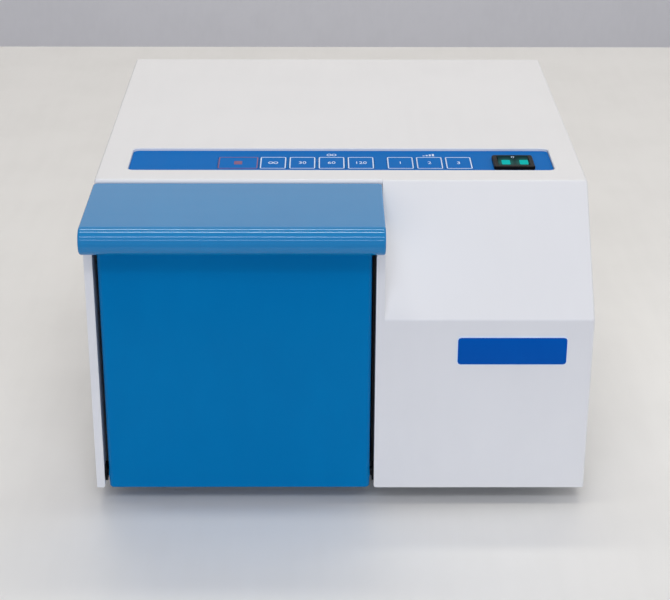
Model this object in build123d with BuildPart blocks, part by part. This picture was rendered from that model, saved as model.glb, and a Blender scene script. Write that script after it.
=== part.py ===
from build123d import *
from math import cos, radians, sin, sqrt
import os

os.makedirs("parts", exist_ok=True)

# Paddle blender for small sample bags. Millimetres, +Z up, front towards -Y. The origin is the
# centre of the footprint, on the table. Lengths below are the driving dimensions.

# ------------------------------------------------------------------ case
case_width = 300.0
case_depth = 324.0
case_height = 179.0
wall = 2.0
kink_height = 113.5          # upright front face, up to where the control face leans back
slope_run = 61.5             # how far the control face leans back
fold_radius = 2.5            # bends along the width
edge_radius = 1.8            # bends along the two sides
jamb = 5.0                   # upright walls on both sides of the door
bay_width = 165.4            # clear width between the jambs
header_drop = 24.0           # depth of the apron behind the lip handle
seam = 0.3                   # gap between a panel and the cover around it
lug_size = 10.0
screw_radius = 1.5
screw_head_radius = 3.0
screw_head_height = 1.8

# ------------------------------------------------------------------ base, feet, rear
pan_thickness = 1.5
pan_flange = 12.0
foot_height = 12.0
foot_radius = 12.0
foot_inset_side = 24.0
foot_inset_end = 42.0
foot_taper = 6.0             # degrees
foot_bore_radius = 5.0
foot_bore_depth = 6.0
rear_thickness = 1.5
rear_recess = 2.0            # rear panel sits this far inside the cover's rear edge
vent_width = 3.2
vent_length = 34.0
vent_pitch = 8.0
vent_count = 9
inlet_width = 28.0
inlet_height = 21.0
inlet_rim = 3.0
inlet_flange = 1.6
inlet_depth = 22.0
inlet_shell = 2.0
inlet_corner = 4.0
inlet_from_side = 45.0
inlet_from_base = 38.0
socket_depth = 16.0
blade_length = 11.0
blade_spacing = 7.0
blade_rise = 2.0
fuse_drawer_height = 10.0
fuse_drawer_depth = 18.0
fuse_notch = 3.0
vent_from_middle = 72.0
vent_from_base = 122.0

# ------------------------------------------------------------------ door and lip handle
door_gap = 2.6               # gap between the door and each jamb
door_drop = 0.5              # the door reaches this far below the case
door_depth = 14.0
door_sheet = 2.0
door_edge_radius = 3.0
door_bottom_radius = 1.6
jamb_bottom_radius = 1.5
lip_overhang = 20.0          # lip handle stands this far in front of the case
lip_thickness = 17.0
lip_sink = 1.5               # lip's top lies this far below the case's top
lip_gap = 1.5                # gap between the lip and the header behind it
lip_side_gap = 0.5
lip_wall = 4.0
lip_rib = 3.0
lip_corner = 1.2
lip_back_corner = 3.0        # seen from above
jamb_clearance = 0.6         # between the lip's underside and the jambs
hinge_back = 7.0             # hinge axis behind the front face
hinge_up = 8.0               # hinge axis above the case's lower edge
hinge_pin_radius = 3.0
hinge_boss_radius = 5.5
hinge_boss_length = 10.0
hinge_bush_wall = 2.0
hinge_bush_depth = 3.2
hinge_flange = 1.2
plate_thickness = 2.5        # pressure plate that the bag is beaten against
plate_margin = 5.0
clamp_strip_height = 5.0
magnet_width = 30.0
magnet_height = 7.0
magnet_spacing = 110.0
catch_plate_thickness = 1.0

# ------------------------------------------------------------------ chamber and paddles
liner_thickness = 1.2
liner_fit = 0.2
liner_front = 21.0           # liner's front edge behind the case's front face
liner_lip = 5.0
paddle_width = 62.0
paddle_height = 112.0
paddle_thickness = 10.0
paddle_gap = 5.0             # between the two paddles
paddle_corner = 10.0
paddle_edge = 3.0
paddle_boss_radius = 11.0
paddle_boss_length = 5.0
bag_space = 13.5             # pressure plate to paddle at mid-stroke
shaft_height = 84.0          # paddle shaft above the case's lower edge
shaft_radius = 6.0
guide_radius = 4.0
guide_drop = 34.0            # guide rod below the paddle shaft
seal_wall = 3.0
seal_lip = 2.0
paddle_socket = 6.0          # how far a rod reaches into its paddle
running = 0.08               # radial clearance of a shaft in its bearing
bush_wall = 2.0
bush_flange = 1.5

# ------------------------------------------------------------------ drive
crank_throw = 8.0            # half of the paddle's stroke
rod_length = 90.0
rod_thickness = 8.0
rod_eye_radius = 9.0
rod_shank = 12.0
rod_ring_wall = 6.0
eccentric_radius = 18.0
eccentric_overhang = 1.0
crosshead_width = 16.0
crosshead_length = 18.0
crosshead_height = 20.0
crosshead_clearance = 3.0    # to the drive frame, with the paddle fully forward
wrist_pin_radius = 4.0
side_clearance = 0.3
crank_radius = 6.0
bearing_wall = 8.0
frame_wall = 20.0            # front wall of the drive frame
frame_cheek = 8.0
frame_inset = 25.0           # frame's sides inside the jambs
frame_height = 122.0
frame_foot = 14.0
frame_foot_thickness = 6.0
bolt_radius = 2.5
pulley_width = 12.0
pulley_flange = 1.5
pulley_flange_rise = 3.0
crank_pulley_radius = 36.0
motor_pulley_radius = 12.0
belt_thickness = 2.4
belt_clearance = 0.3
motor_from_rear = 14.0       # motor's body to the rear panel
motor_drop = 36.0            # motor axis below the crank axis
motor_radius = 41.0
motor_from_cover = 35.6      # motor's end to the cover, clear of the screw lugs
motor_shaft_radius = 4.0
motor_cap = 10.0
motor_cap_step = 3.0
motor_nose_radius = 14.0
motor_nose_length = 3.0
motor_socket = 24.0          # how far the motor shaft reaches into the motor
motor_foot = 30.0
bracket_thickness = 4.0
bracket_round = 30.0
shaft_end = 3.0
lightening_radius = 18.0
web_thickness = 5.0
pulley_rim = 6.0
hub_radius = 12.0
pulley_hole_radius = 5.0
pulley_hole_count = 6

# ------------------------------------------------------------------ keypad, switch, electrics
overlay_length = 40.7
overlay_from_left = 18.5
overlay_from_right = 17.6
overlay_from_front = 79.3
overlay_corner = 4.0
overlay_thickness = 0.8
recess_depth = 2.6
recess_bevel = 0.5
key_width = 16.8
stop_key_width = 25.4
key_length = 21.8
key_corner = 1.2
key_pitch = 18.28
key_from_front = 96.6
stop_key_from_switch = 172.1
time_keys_from_switch = 150.2
speed_keys_from_switch = 70.6
time_key_count = 4
speed_key_count = 3
key_gap = 0.2
key_rise = 0.2               # key fields stand this far above the overlay
key_travel = 0.35
dome_height = 0.4
dome_radius = 5.0
board_thickness = 1.6
switch_width = 25.4
switch_length = 22.2
switch_from_right = 41.9
switch_from_front = 95.3
switch_rim = 1.2
switch_bezel_height = 2.2
switch_shell = 1.6
switch_body_depth = 20.0
rocker_clearance = 0.4
rocker_swing = 7.0           # degrees each side of level
rocker_end_rise = 2.6
rocker_dip = 2.1               # crown of the rocker at its middle, above the pivot
rocker_skirt = 1.5
rocker_depth = 5.0
rocker_floor = 1.5
pivot_below_bezel = 2.6
trunnion_radius = 1.6
trunnion_length = 1.0
control_board_length = 120.0
board_from_partition = 6.0
board_from_cover = 28.6
board_from_front = 20.0
standoff_height = 8.0
standoff_radius = 3.5
standoff_inset = 6.0
connector_height = 9.0
connector_wall = 4.0
capacitor_radius = 8.0
capacitor_height = 25.0
transformer_width = 46.0
transformer_length = 40.0
transformer_height = 44.0
transformer_core = 16.0
ribbon_width = 20.0
ribbon_thickness = 0.8
ribbon_bow = 12.0
board_overlap = 4.0          # keypad board beyond the keys
dome_slack = 0.1

# ------------------------------------------------------------------ planes and levels worked out
left = -case_width / 2
right = case_width / 2
front = (lip_overhang - case_depth) / 2
rear = front + case_depth
base = foot_height
top = base + case_height
kink = base + kink_height
header = front + slope_run
bay_left = left + jamb
bay_right = bay_left + bay_width
bay_middle = (bay_left + bay_right) / 2
door_side = bay_right + jamb
lip_top = top - lip_sink
lip_bottom = lip_top - lip_thickness
lip_back = header - lip_gap
jamb_top = lip_bottom - jamb_clearance
header_bottom = top - header_drop
pan_top = base + pan_thickness
rear_face = rear - rear_recess
rear_inner = rear_face - rear_thickness


def side_plane(x):
    """Side-view plane at x: its own x runs back, its y runs up, and it extrudes to the right."""
    return Plane.YZ.offset(x)


def front_plane(y):
    """Front-view plane at y: its own x runs right, its y runs up, and it extrudes forward."""
    return Plane.XZ.offset(-y)


def patch(low, high, mode=Mode.ADD):
    """Rectangle between two opposite corners, in the sketch that is being drawn."""
    Polygon(low, (high[0], low[1]), high, (low[0], high[1]), align=None, mode=mode)


def slope_points(lowest):
    """Side view of the control side: upright front, leaning control face, flat top."""
    return [(front, lowest), (front, kink), (header, top), (rear, top), (rear, lowest)]


# ================================================================== case cover
overlay_width = case_width - overlay_from_left - overlay_from_right
overlay_middle_x = left + overlay_from_left + overlay_width / 2
overlay_middle_y = front + overlay_from_front + overlay_length / 2
recess_floor = top - recess_depth
floor_underside = recess_floor - wall
key_y = front + key_from_front
switch_x = right - switch_from_right
switch_y = front + switch_from_front
switch_hole_width = switch_width - 2 * switch_rim
switch_hole_length = switch_length - 2 * switch_rim

keys = {"stop_key": (switch_x - stop_key_from_switch, stop_key_width)}
for number in range(time_key_count):
    time_key_x = switch_x - time_keys_from_switch + number * key_pitch
    keys[f"time_key_{number + 1}"] = (time_key_x, key_width)
for number in range(speed_key_count):
    speed_key_x = switch_x - speed_keys_from_switch + number * key_pitch
    keys[f"speed_key_{number + 1}"] = (speed_key_x, key_width)

rear_lugs = [
    (x, z)
    for x in (left + wall + lug_size / 2, right - wall - lug_size / 2)
    for z in (base + pan_flange + seam + lug_size / 2, top - wall - lug_size / 2)
]
base_lugs = [
    (x, y)
    for x in (left + wall + lug_size / 2, right - wall - lug_size / 2)
    for y in (header + wall + lug_size, rear_inner - 3 * lug_size)
]
hinge_y = front + hinge_back
hinge_z = base + hinge_up
hinge_bush_radius = hinge_pin_radius + running + hinge_bush_wall
magnets = [(bay_middle + side * magnet_spacing / 2, lip_top - magnet_height) for side in (-1, 1)]

with BuildPart() as case_cover:
    # control side, with its upright, leaning and flat faces
    with BuildSketch(side_plane(door_side)):
        Polygon(*slope_points(base), align=None)
        fillet(vertices().filter_by_position(Axis.Y, kink - seam, top + seam), radius=fold_radius)
    extrude(amount=right - door_side)
    control_rim = faces().sort_by(Axis.X)[-1].edges()
    fillet(
        control_rim.filter_by(lambda edge: edge.center().Z > pan_top and edge.center().Y < rear_face),
        radius=edge_radius,
    )
    # door side, open in front of the header
    with BuildSketch(side_plane(left)):
        patch((front, base), (rear, top))
        patch((front, jamb_top), (header, top), mode=Mode.SUBTRACT)
        fillet(vertices().filter_by_position(Axis.Y, top - seam, top + seam), radius=fold_radius)
    extrude(amount=door_side - left)
    door_rim = faces().sort_by(Axis.X)[0].edges()
    fillet(
        door_rim.filter_by(lambda edge: edge.center().Z > top - fold_radius).sort_by(Edge.length)[-1],
        radius=edge_radius,
    )
    # rear space across the full width, open to the rear and below
    with BuildSketch(side_plane(left + wall)):
        patch((header + wall, base), (rear, top - wall))
    extrude(amount=case_width - 2 * wall, mode=Mode.SUBTRACT)
    # space behind the control face
    with BuildSketch(side_plane(door_side + wall)) as control_space:
        Polygon(*slope_points(base - 2 * wall), align=None)
        offset(amount=-wall, kind=Kind.INTERSECTION)
    extrude(amount=right - door_side - 2 * wall, mode=Mode.SUBTRACT)
    with BuildSketch(side_plane(door_side)):
        add(control_space.sketch_local)
        patch((front, base - 2 * wall), (header + wall, jamb_top - wall), mode=Mode.INTERSECT)
    extrude(amount=wall, mode=Mode.SUBTRACT)
    # door bay between the jambs
    with BuildSketch(side_plane(bay_left)):
        patch((front, base), (header, jamb_top))
        patch((header, base), (header + wall, header_bottom))
    extrude(amount=bay_width, mode=Mode.SUBTRACT)
    jamb_feet = edges().filter_by(Axis.Y).filter_by_position(Axis.Z, base - seam, base + seam)
    fillet(
        jamb_feet.filter_by_position(Axis.X, bay_left - seam, bay_left + seam)
        + jamb_feet.filter_by_position(Axis.X, bay_right - seam, bay_right + seam),
        radius=jamb_bottom_radius,
    )
    # pressed recess for the keypad overlay
    with BuildSketch(Plane.XY.offset(floor_underside)):
        with Locations((overlay_middle_x, overlay_middle_y)):
            RectangleRounded(overlay_width + 2 * wall, overlay_length + 2 * wall, overlay_corner + wall)
    extrude(amount=recess_depth)
    with BuildSketch(Plane.XY.offset(top)):
        with Locations((overlay_middle_x, overlay_middle_y)):
            RectangleRounded(overlay_width, overlay_length, overlay_corner)
    extrude(amount=-recess_depth, mode=Mode.SUBTRACT)
    recess_rim = edges().filter_by_position(Axis.Z, top - seam, top + seam)
    recess_rim = recess_rim.filter_by(
        lambda edge: abs(edge.center().X - overlay_middle_x) < overlay_width / 2 + seam
        and abs(edge.center().Y - overlay_middle_y) < overlay_length / 2 + seam
    )
    chamfer(recess_rim, length=recess_bevel)
    # windows under the keys and the switch
    with BuildSketch(Plane.XY.offset(recess_floor)):
        for key_x, width in keys.values():
            with Locations((key_x, key_y)):
                RectangleRounded(width + 2 * key_gap, key_length + 2 * key_gap, key_corner + key_gap)
        with Locations((switch_x, switch_y)):
            Rectangle(switch_hole_width + 2 * key_gap, switch_hole_length + 2 * key_gap)
    extrude(amount=-wall, mode=Mode.SUBTRACT)
    # lugs for the rear panel's screws and for the base pan's screws
    with BuildSketch(front_plane(rear_inner)):
        with Locations(*rear_lugs):
            Rectangle(lug_size, lug_size)
            Circle(screw_radius, mode=Mode.SUBTRACT)
    extrude(amount=lug_size)
    with BuildSketch(Plane.XY.offset(base + pan_flange + seam)):
        with Locations(*base_lugs):
            Rectangle(lug_size, lug_size)
            Circle(screw_radius, mode=Mode.SUBTRACT)
    extrude(amount=lug_size)
    # blind seats for the hinge bushes, and windows for the catch magnets
    with BuildSketch(side_plane(bay_left - hinge_bush_depth)):
        with Locations((hinge_y, hinge_z)):
            Circle(hinge_bush_radius)
    extrude(amount=hinge_bush_depth, mode=Mode.SUBTRACT)
    with BuildSketch(side_plane(bay_right)):
        with Locations((hinge_y, hinge_z)):
            Circle(hinge_bush_radius)
    extrude(amount=hinge_bush_depth, mode=Mode.SUBTRACT)
    with BuildSketch(front_plane(header)):
        with Locations(*magnets):
            Rectangle(magnet_width, magnet_height)
    extrude(amount=-wall, mode=Mode.SUBTRACT)
case_cover.part.label = "case_cover"
export_step(case_cover.part, "parts/case_cover.step")

# ================================================================== base pan and feet
foot_places = {
    "foot_front_left": (left + foot_inset_side, front + foot_inset_end),
    "foot_front_right": (right - foot_inset_side, front + foot_inset_end),
    "foot_rear_left": (left + foot_inset_side, rear - foot_inset_end),
    "foot_rear_right": (right - foot_inset_side, rear - foot_inset_end),
}
frame_left = bay_left + frame_inset
frame_right = bay_right - frame_inset
frame_back = header + frame_wall
crosshead_y = frame_back + crank_throw + crosshead_clearance + crosshead_length / 2
crank_y = crosshead_y + sqrt(rod_length**2 - crank_throw**2)
shaft_z = base + shaft_height
guide_z = shaft_z - guide_drop
motor_y = rear_inner - motor_from_rear - motor_radius
motor_z = shaft_z - motor_drop
pulley_left = frame_right + frame_foot / 2
pulley_right = pulley_left + pulley_width
bracket_left = pulley_right + pulley_width
motor_left = bracket_left + bracket_thickness
motor_right = right - wall - motor_from_cover
frame_bolts_at = [
    (x, y)
    for x in (frame_left - frame_foot / 2, frame_right + frame_foot / 2)
    for y in (frame_back, crank_y)
]
bracket_bolts_at = [
    (motor_left + motor_foot / 2, motor_y + side * bracket_round / 2) for side in (-1, 1)
]
board_left = door_side + board_from_partition
board_right = right - wall - board_from_cover
board_front = front + board_from_front
board_level = pan_top + standoff_height
standoffs_at = [
    (x, y)
    for x in (board_left + standoff_inset, board_right - standoff_inset)
    for y in (board_front + standoff_inset, board_front + control_board_length - standoff_inset)
]
screw_shank = screw_radius - seam / 4
pan_holes = list(foot_places.values()) + base_lugs

with BuildPart() as base_pan:
    with BuildSketch(Plane.XY.offset(base)) as pan_outline:
        patch((left + wall + seam, front + wall + seam), (right - wall - seam, rear_inner - seam))
        patch((left, front), (bay_left + seam, header + wall + seam), mode=Mode.SUBTRACT)
        patch((left, front), (bay_right, front + liner_front), mode=Mode.SUBTRACT)
        patch((bay_right - seam, front), (door_side + seam, header + wall + seam), mode=Mode.SUBTRACT)
    extrude(amount=pan_flange)
    with BuildSketch(Plane.XY.offset(pan_top)):
        add(pan_outline.sketch_local)
        offset(amount=-pan_thickness, kind=Kind.INTERSECTION)
        patch((bay_left, front), (bay_right, header + wall + seam + pan_thickness))
    extrude(amount=pan_flange, mode=Mode.SUBTRACT)
    with BuildSketch(Plane.XY.offset(pan_top)):
        with Locations(*standoffs_at):
            Circle(standoff_radius)
    extrude(amount=standoff_height)
    with BuildSketch(Plane.XY.offset(base)):
        with Locations(*pan_holes):
            Circle(screw_radius)
        with Locations(*frame_bolts_at, *bracket_bolts_at):
            Circle(bolt_radius)
    extrude(amount=pan_thickness, mode=Mode.SUBTRACT)
base_pan.part.label = "base_pan"
export_step(base_pan.part, "parts/base_pan.step")

for foot_name, foot_place in foot_places.items():
    with BuildPart() as foot:
        with BuildSketch(Plane((*foot_place, base), z_dir=(0, 0, -1))):
            Circle(foot_radius)
        extrude(amount=foot_height, taper=foot_taper)
        with Locations(Plane((*foot_place, 0), z_dir=(0, 0, -1))):
            CounterBoreHole(screw_radius, foot_bore_radius, foot_bore_depth, depth=foot_height)
    foot.part.label = foot_name
    export_step(foot.part, f"parts/{foot_name}.step")

with BuildPart() as foot_screws:
    with BuildSketch(Plane.XY.offset(foot_bore_depth)):
        with Locations(*foot_places.values()):
            Circle(screw_head_radius)
    extrude(amount=-screw_head_height)
    with BuildSketch(Plane.XY.offset(foot_bore_depth)):
        with Locations(*foot_places.values()):
            Circle(screw_shank)
    extrude(amount=pan_top - foot_bore_depth)
foot_screws.part.label = "foot_screws"
export_step(foot_screws.part, "parts/foot_screws.step")

with BuildPart() as base_screws:
    with BuildSketch(Plane.XY.offset(base)):
        with Locations(*base_lugs):
            Circle(screw_head_radius)
    extrude(amount=-screw_head_height)
    with BuildSketch(Plane.XY.offset(base)):
        with Locations(*base_lugs):
            Circle(screw_shank)
    extrude(amount=pan_flange + lug_size)
base_screws.part.label = "base_screws"
export_step(base_screws.part, "parts/base_screws.step")

# ================================================================== rear panel and mains inlet
inlet_x = left + inlet_from_side
inlet_z = base + inlet_from_base
inlet_middle_z = inlet_z - fuse_drawer_height / 2
inlet_total_height = inlet_height + fuse_drawer_height
vent_z = base + vent_from_base

with BuildPart() as rear_panel:
    with BuildSketch(front_plane(rear_face)):
        patch((left + wall + seam, base), (right - wall - seam, top - wall - seam))
        with Locations(*rear_lugs):
            Circle(screw_radius, mode=Mode.SUBTRACT)
        with Locations((inlet_x, inlet_middle_z)):
            Rectangle(inlet_width + seam, inlet_total_height + seam, mode=Mode.SUBTRACT)
        with Locations((-vent_from_middle, vent_z), (vent_from_middle, vent_z)):
            with GridLocations(vent_pitch, 0, vent_count, 1):
                SlotOverall(vent_length, vent_width, rotation=90, mode=Mode.SUBTRACT)
    extrude(amount=rear_thickness)
rear_panel.part.label = "rear_panel"
export_step(rear_panel.part, "parts/rear_panel.step")

with BuildPart() as rear_screws:
    with BuildSketch(front_plane(rear_face)):
        with Locations(*rear_lugs):
            Circle(screw_head_radius)
    extrude(amount=-screw_head_height)
    with BuildSketch(front_plane(rear_face)):
        with Locations(*rear_lugs):
            Circle(screw_shank)
    extrude(amount=rear_thickness + lug_size - screw_radius)
rear_screws.part.label = "rear_screws"
export_step(rear_screws.part, "parts/rear_screws.step")

drawer_z = inlet_z - inlet_height / 2 - fuse_drawer_height / 2 + inlet_shell / 2
drawer_width = inlet_width - 2 * inlet_shell
drawer_height = fuse_drawer_height - inlet_shell
socket_width = inlet_width - 2 * inlet_shell
socket_height = inlet_height - 2 * inlet_shell
rim_face = rear_face + inlet_flange

with BuildPart() as power_inlet:
    with BuildSketch(front_plane(rim_face)):
        with Locations((inlet_x, inlet_middle_z)):
            RectangleRounded(inlet_width + 2 * inlet_rim, inlet_total_height + 2 * inlet_rim, inlet_rim)
    extrude(amount=inlet_flange)
    with BuildSketch(front_plane(rear_face)):
        with Locations((inlet_x, inlet_middle_z)):
            Rectangle(inlet_width, inlet_total_height)
    extrude(amount=inlet_depth)
    with BuildSketch(front_plane(rim_face)):
        with Locations((inlet_x, inlet_z)):
            Rectangle(socket_width, socket_height)
        chamfer(vertices().group_by(Axis.Y)[-1], length=inlet_corner)
        with Locations((inlet_x, drawer_z)):
            Rectangle(drawer_width, drawer_height)
    extrude(amount=socket_depth, mode=Mode.SUBTRACT)
    with BuildSketch(front_plane(rim_face)):
        with Locations((inlet_x, drawer_z)):
            Rectangle(drawer_width, drawer_height)
    extrude(amount=fuse_drawer_depth, mode=Mode.SUBTRACT)
    with BuildSketch(front_plane(rim_face - socket_depth)):
        with Locations(
            (inlet_x - blade_spacing, inlet_z - blade_rise),
            (inlet_x, inlet_z + blade_rise),
            (inlet_x + blade_spacing, inlet_z - blade_rise),
        ):
            Rectangle(inlet_shell, 2 * inlet_shell)
    extrude(amount=-blade_length)
power_inlet.part.label = "power_inlet"
export_step(power_inlet.part, "parts/power_inlet.step")

with BuildPart() as fuse_drawer:
    with BuildSketch(front_plane(rim_face)):
        with Locations((inlet_x, drawer_z)):
            Rectangle(drawer_width - seam, drawer_height - seam)
    extrude(amount=fuse_drawer_depth - seam)
    with BuildSketch(front_plane(rim_face)):
        with Locations((inlet_x, drawer_z + drawer_height / 2)):
            Rectangle(drawer_width / 2, fuse_notch)
    extrude(amount=fuse_notch, mode=Mode.SUBTRACT)
fuse_drawer.part.label = "fuse_drawer"
export_step(fuse_drawer.part, "parts/fuse_drawer.step")

# ================================================================== door
door_left = bay_left + door_gap
door_right = bay_right - door_gap
door_bottom = base - door_drop
door_back = front + door_depth
plate_face = door_back + plate_thickness
plate_bottom = hinge_z + hinge_boss_radius + side_clearance
plate_top = lip_bottom - plate_margin
door_screws_at = [
    (bay_middle + share * (door_right - door_left) / 2, front + door_depth / 2)
    for share in (-0.75, -0.25, 0.25, 0.75)
]
door_ribs_at = [bay_middle + side * (door_right - door_left) / 4 for side in (-1, 0, 1)]

with BuildPart() as door_panel:
    with BuildSketch(Plane.XY.offset(door_bottom)):
        patch((door_left, front), (door_right, door_back))
        fillet(vertices().group_by(Axis.Y)[0], radius=door_edge_radius)
    extrude(amount=lip_bottom - door_bottom)
    door_foot_rim = faces().sort_by(Axis.Z)[0].edges().sort_by(Axis.Y)
    fillet(door_foot_rim[:-1], radius=door_bottom_radius)
    with BuildSketch(front_plane(front + door_sheet)):
        patch(
            (door_left + door_sheet, door_bottom + door_sheet),
            (door_right - door_sheet, lip_bottom - door_sheet),
        )
    extrude(amount=door_sheet - door_depth, mode=Mode.SUBTRACT)
    with BuildSketch(Plane.XY.offset(door_bottom)):
        for rib_x in door_ribs_at:
            patch((rib_x - door_sheet / 2, front + door_sheet), (rib_x + door_sheet / 2, door_back))
    extrude(amount=lip_bottom - door_bottom)
    with BuildSketch(side_plane(door_left)):
        with Locations((hinge_y, hinge_z)):
            Circle(hinge_boss_radius)
    extrude(amount=hinge_boss_length)
    with BuildSketch(side_plane(door_right)):
        with Locations((hinge_y, hinge_z)):
            Circle(hinge_boss_radius)
    extrude(amount=-hinge_boss_length)
    for hole_start in (door_left, door_right - hinge_boss_length):
        with BuildSketch(side_plane(hole_start)):
            with Locations((hinge_y, hinge_z)):
                Circle(hinge_pin_radius)
        extrude(amount=hinge_boss_length, mode=Mode.SUBTRACT)
    with BuildSketch(Plane.XY.offset(lip_bottom)):
        with Locations(*door_screws_at):
            Circle(screw_radius)
    extrude(amount=-door_sheet, mode=Mode.SUBTRACT)
door_panel.part.label = "door_panel"
export_step(door_panel.part, "parts/door_panel.step")

with BuildPart() as pressure_plate:
    with BuildSketch(front_plane(plate_face)):
        patch((door_left + plate_margin, plate_bottom), (door_right - plate_margin, plate_top))
        fillet(vertices(), radius=plate_margin)
    extrude(amount=plate_thickness)
    chamfer(faces().sort_by(Axis.Y)[-1].edges(), length=plate_thickness / 3)
pressure_plate.part.label = "pressure_plate"
export_step(pressure_plate.part, "parts/pressure_plate.step")

lip_right = door_side - lip_side_gap
lip_nose_y = front - lip_overhang + lip_thickness / 2
lip_middle_z = (lip_top + lip_bottom) / 2
pocket_front = door_back + lip_wall
pocket_back = lip_back - lip_wall
pocket_count = 4
pocket_pitch = (lip_right - left - lip_wall) / pocket_count



def lip_outline(edge):
    """Whether an edge runs round the lip's top, its underside or the ends of its nose."""
    place = edge.center()
    on_nose = place.Y < lip_nose_y - seam
    across_nose = abs(place.Y - lip_nose_y) < seam
    upright = abs(place.Z - lip_middle_z) < seam
    return on_nose or not (across_nose or upright)


with BuildPart() as door_lip:
    with BuildSketch(side_plane(left)):
        patch((lip_nose_y, lip_bottom), (lip_back, lip_top))
        with Locations((lip_nose_y, lip_middle_z)):
            Circle(lip_thickness / 2)
    extrude(amount=lip_right - left)
    fillet(edges().filter_by(Axis.Z).group_by(Axis.Y)[-1], radius=lip_back_corner)
    fillet(edges().filter_by(lip_outline), radius=lip_corner)
    with BuildSketch(Plane.XY.offset(lip_bottom)):
        with Locations(((left + lip_right) / 2, (pocket_front + pocket_back) / 2)):
            with GridLocations(pocket_pitch, 0, pocket_count, 1):
                RectangleRounded(pocket_pitch - lip_rib, pocket_back - pocket_front, lip_rib)
    extrude(amount=lip_thickness - lip_wall, mode=Mode.SUBTRACT)
    with BuildSketch(Plane.XY.offset(lip_bottom)):
        with Locations(*door_screws_at):
            Circle(screw_radius)
    extrude(amount=lug_size, mode=Mode.SUBTRACT)
door_lip.part.label = "door_lip"
export_step(door_lip.part, "parts/door_lip.step")

with BuildPart() as door_screws:
    with BuildSketch(Plane.XY.offset(lip_bottom - door_sheet)):
        with Locations(*door_screws_at):
            Circle(screw_head_radius)
    extrude(amount=-screw_head_height)
    with BuildSketch(Plane.XY.offset(lip_bottom - door_sheet)):
        with Locations(*door_screws_at):
            Circle(screw_shank)
    extrude(amount=door_sheet + lug_size - screw_radius)
door_screws.part.label = "door_screws"
export_step(door_screws.part, "parts/door_screws.step")

with BuildPart() as bag_clamp_strip:
    with BuildSketch(front_plane(header - side_clearance)):
        patch(
            (bay_left + plate_margin, lip_bottom + lip_corner),
            (bay_right - plate_margin, lip_bottom + lip_corner + clamp_strip_height),
        )
    extrude(amount=lip_gap - side_clearance)
bag_clamp_strip.part.label = "bag_clamp_strip"
export_step(bag_clamp_strip.part, "parts/bag_clamp_strip.step")

with BuildPart() as catch_plates:
    with BuildSketch(front_plane(lip_back + catch_plate_thickness)):
        with Locations(*magnets):
            Rectangle(magnet_width, magnet_height)
    extrude(amount=catch_plate_thickness)
catch_plates.part.label = "catch_plates"
export_step(catch_plates.part, "parts/catch_plates.step")

with BuildPart() as catch_magnets:
    with BuildSketch(front_plane(header)):
        with Locations(*magnets):
            Rectangle(magnet_width - seam / 2, magnet_height - seam / 2)
    extrude(amount=-2 * wall)
catch_magnets.part.label = "catch_magnets"
export_step(catch_magnets.part, "parts/catch_magnets.step")

with BuildPart() as hinge_pins:
    for pin_start, pin_end in (
        (bay_left - hinge_bush_depth + seam, door_left + hinge_boss_length),
        (door_right - hinge_boss_length, bay_right + hinge_bush_depth - seam),
    ):
        with BuildSketch(side_plane(pin_start)):
            with Locations((hinge_y, hinge_z)):
                Circle(hinge_pin_radius)
        extrude(amount=pin_end - pin_start)
hinge_pins.part.label = "hinge_pins"
export_step(hinge_pins.part, "parts/hinge_pins.step")

with BuildPart() as hinge_bushes:
    for seat, direction in ((bay_left, 1), (bay_right, -1)):
        with BuildSketch(side_plane(seat)):
            with Locations((hinge_y, hinge_z)):
                Circle(hinge_bush_radius)
                Circle(hinge_pin_radius + running, mode=Mode.SUBTRACT)
        extrude(amount=-direction * hinge_bush_depth)
        with BuildSketch(side_plane(seat)):
            with Locations((hinge_y, hinge_z)):
                Circle(hinge_bush_radius + hinge_bush_wall / 2)
                Circle(hinge_pin_radius + running, mode=Mode.SUBTRACT)
        extrude(amount=direction * hinge_flange)
hinge_bushes.part.label = "hinge_bushes"
export_step(hinge_bushes.part, "parts/hinge_bushes.step")

# ================================================================== chamber liner and seals
liner_left = bay_left + liner_fit
liner_right = bay_right - liner_fit
liner_back = header - liner_fit
liner_bottom = pan_top + seam
liner_inner_back = liner_back - liner_thickness
paddle_middles = {
    "left": bay_middle - (paddle_width + paddle_gap) / 2,
    "right": bay_middle + (paddle_width + paddle_gap) / 2,
}
shaft_places = [(x, shaft_z) for x in paddle_middles.values()]
guide_places = [(x, guide_z) for x in paddle_middles.values()]

with BuildPart() as chamber_liner:
    with BuildSketch(Plane.XY.offset(liner_bottom)) as liner_plan:
        patch((liner_left, front + liner_front), (liner_right, liner_back))
        fillet(vertices().group_by(Axis.Y)[-1], radius=paddle_corner / 2)
    extrude(amount=jamb_top - liner_bottom)
    with BuildSketch(Plane.XY.offset(liner_bottom + liner_thickness)):
        add(liner_plan.sketch_local)
        offset(amount=-liner_thickness, kind=Kind.INTERSECTION)
    extrude(amount=jamb_top - liner_bottom, mode=Mode.SUBTRACT)
    with BuildSketch(front_plane(front + liner_front)):
        patch(
            (liner_left + liner_thickness, liner_bottom + liner_lip),
            (liner_right - liner_thickness, jamb_top),
        )
    extrude(amount=-liner_thickness, mode=Mode.SUBTRACT)
    with BuildSketch(front_plane(liner_back)):
        with Locations(*shaft_places):
            Circle(shaft_radius + seal_wall)
        with Locations(*guide_places):
            Circle(guide_radius + seal_wall)
    extrude(amount=liner_thickness, mode=Mode.SUBTRACT)
chamber_liner.part.label = "chamber_liner"
export_step(chamber_liner.part, "parts/chamber_liner.step")

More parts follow.
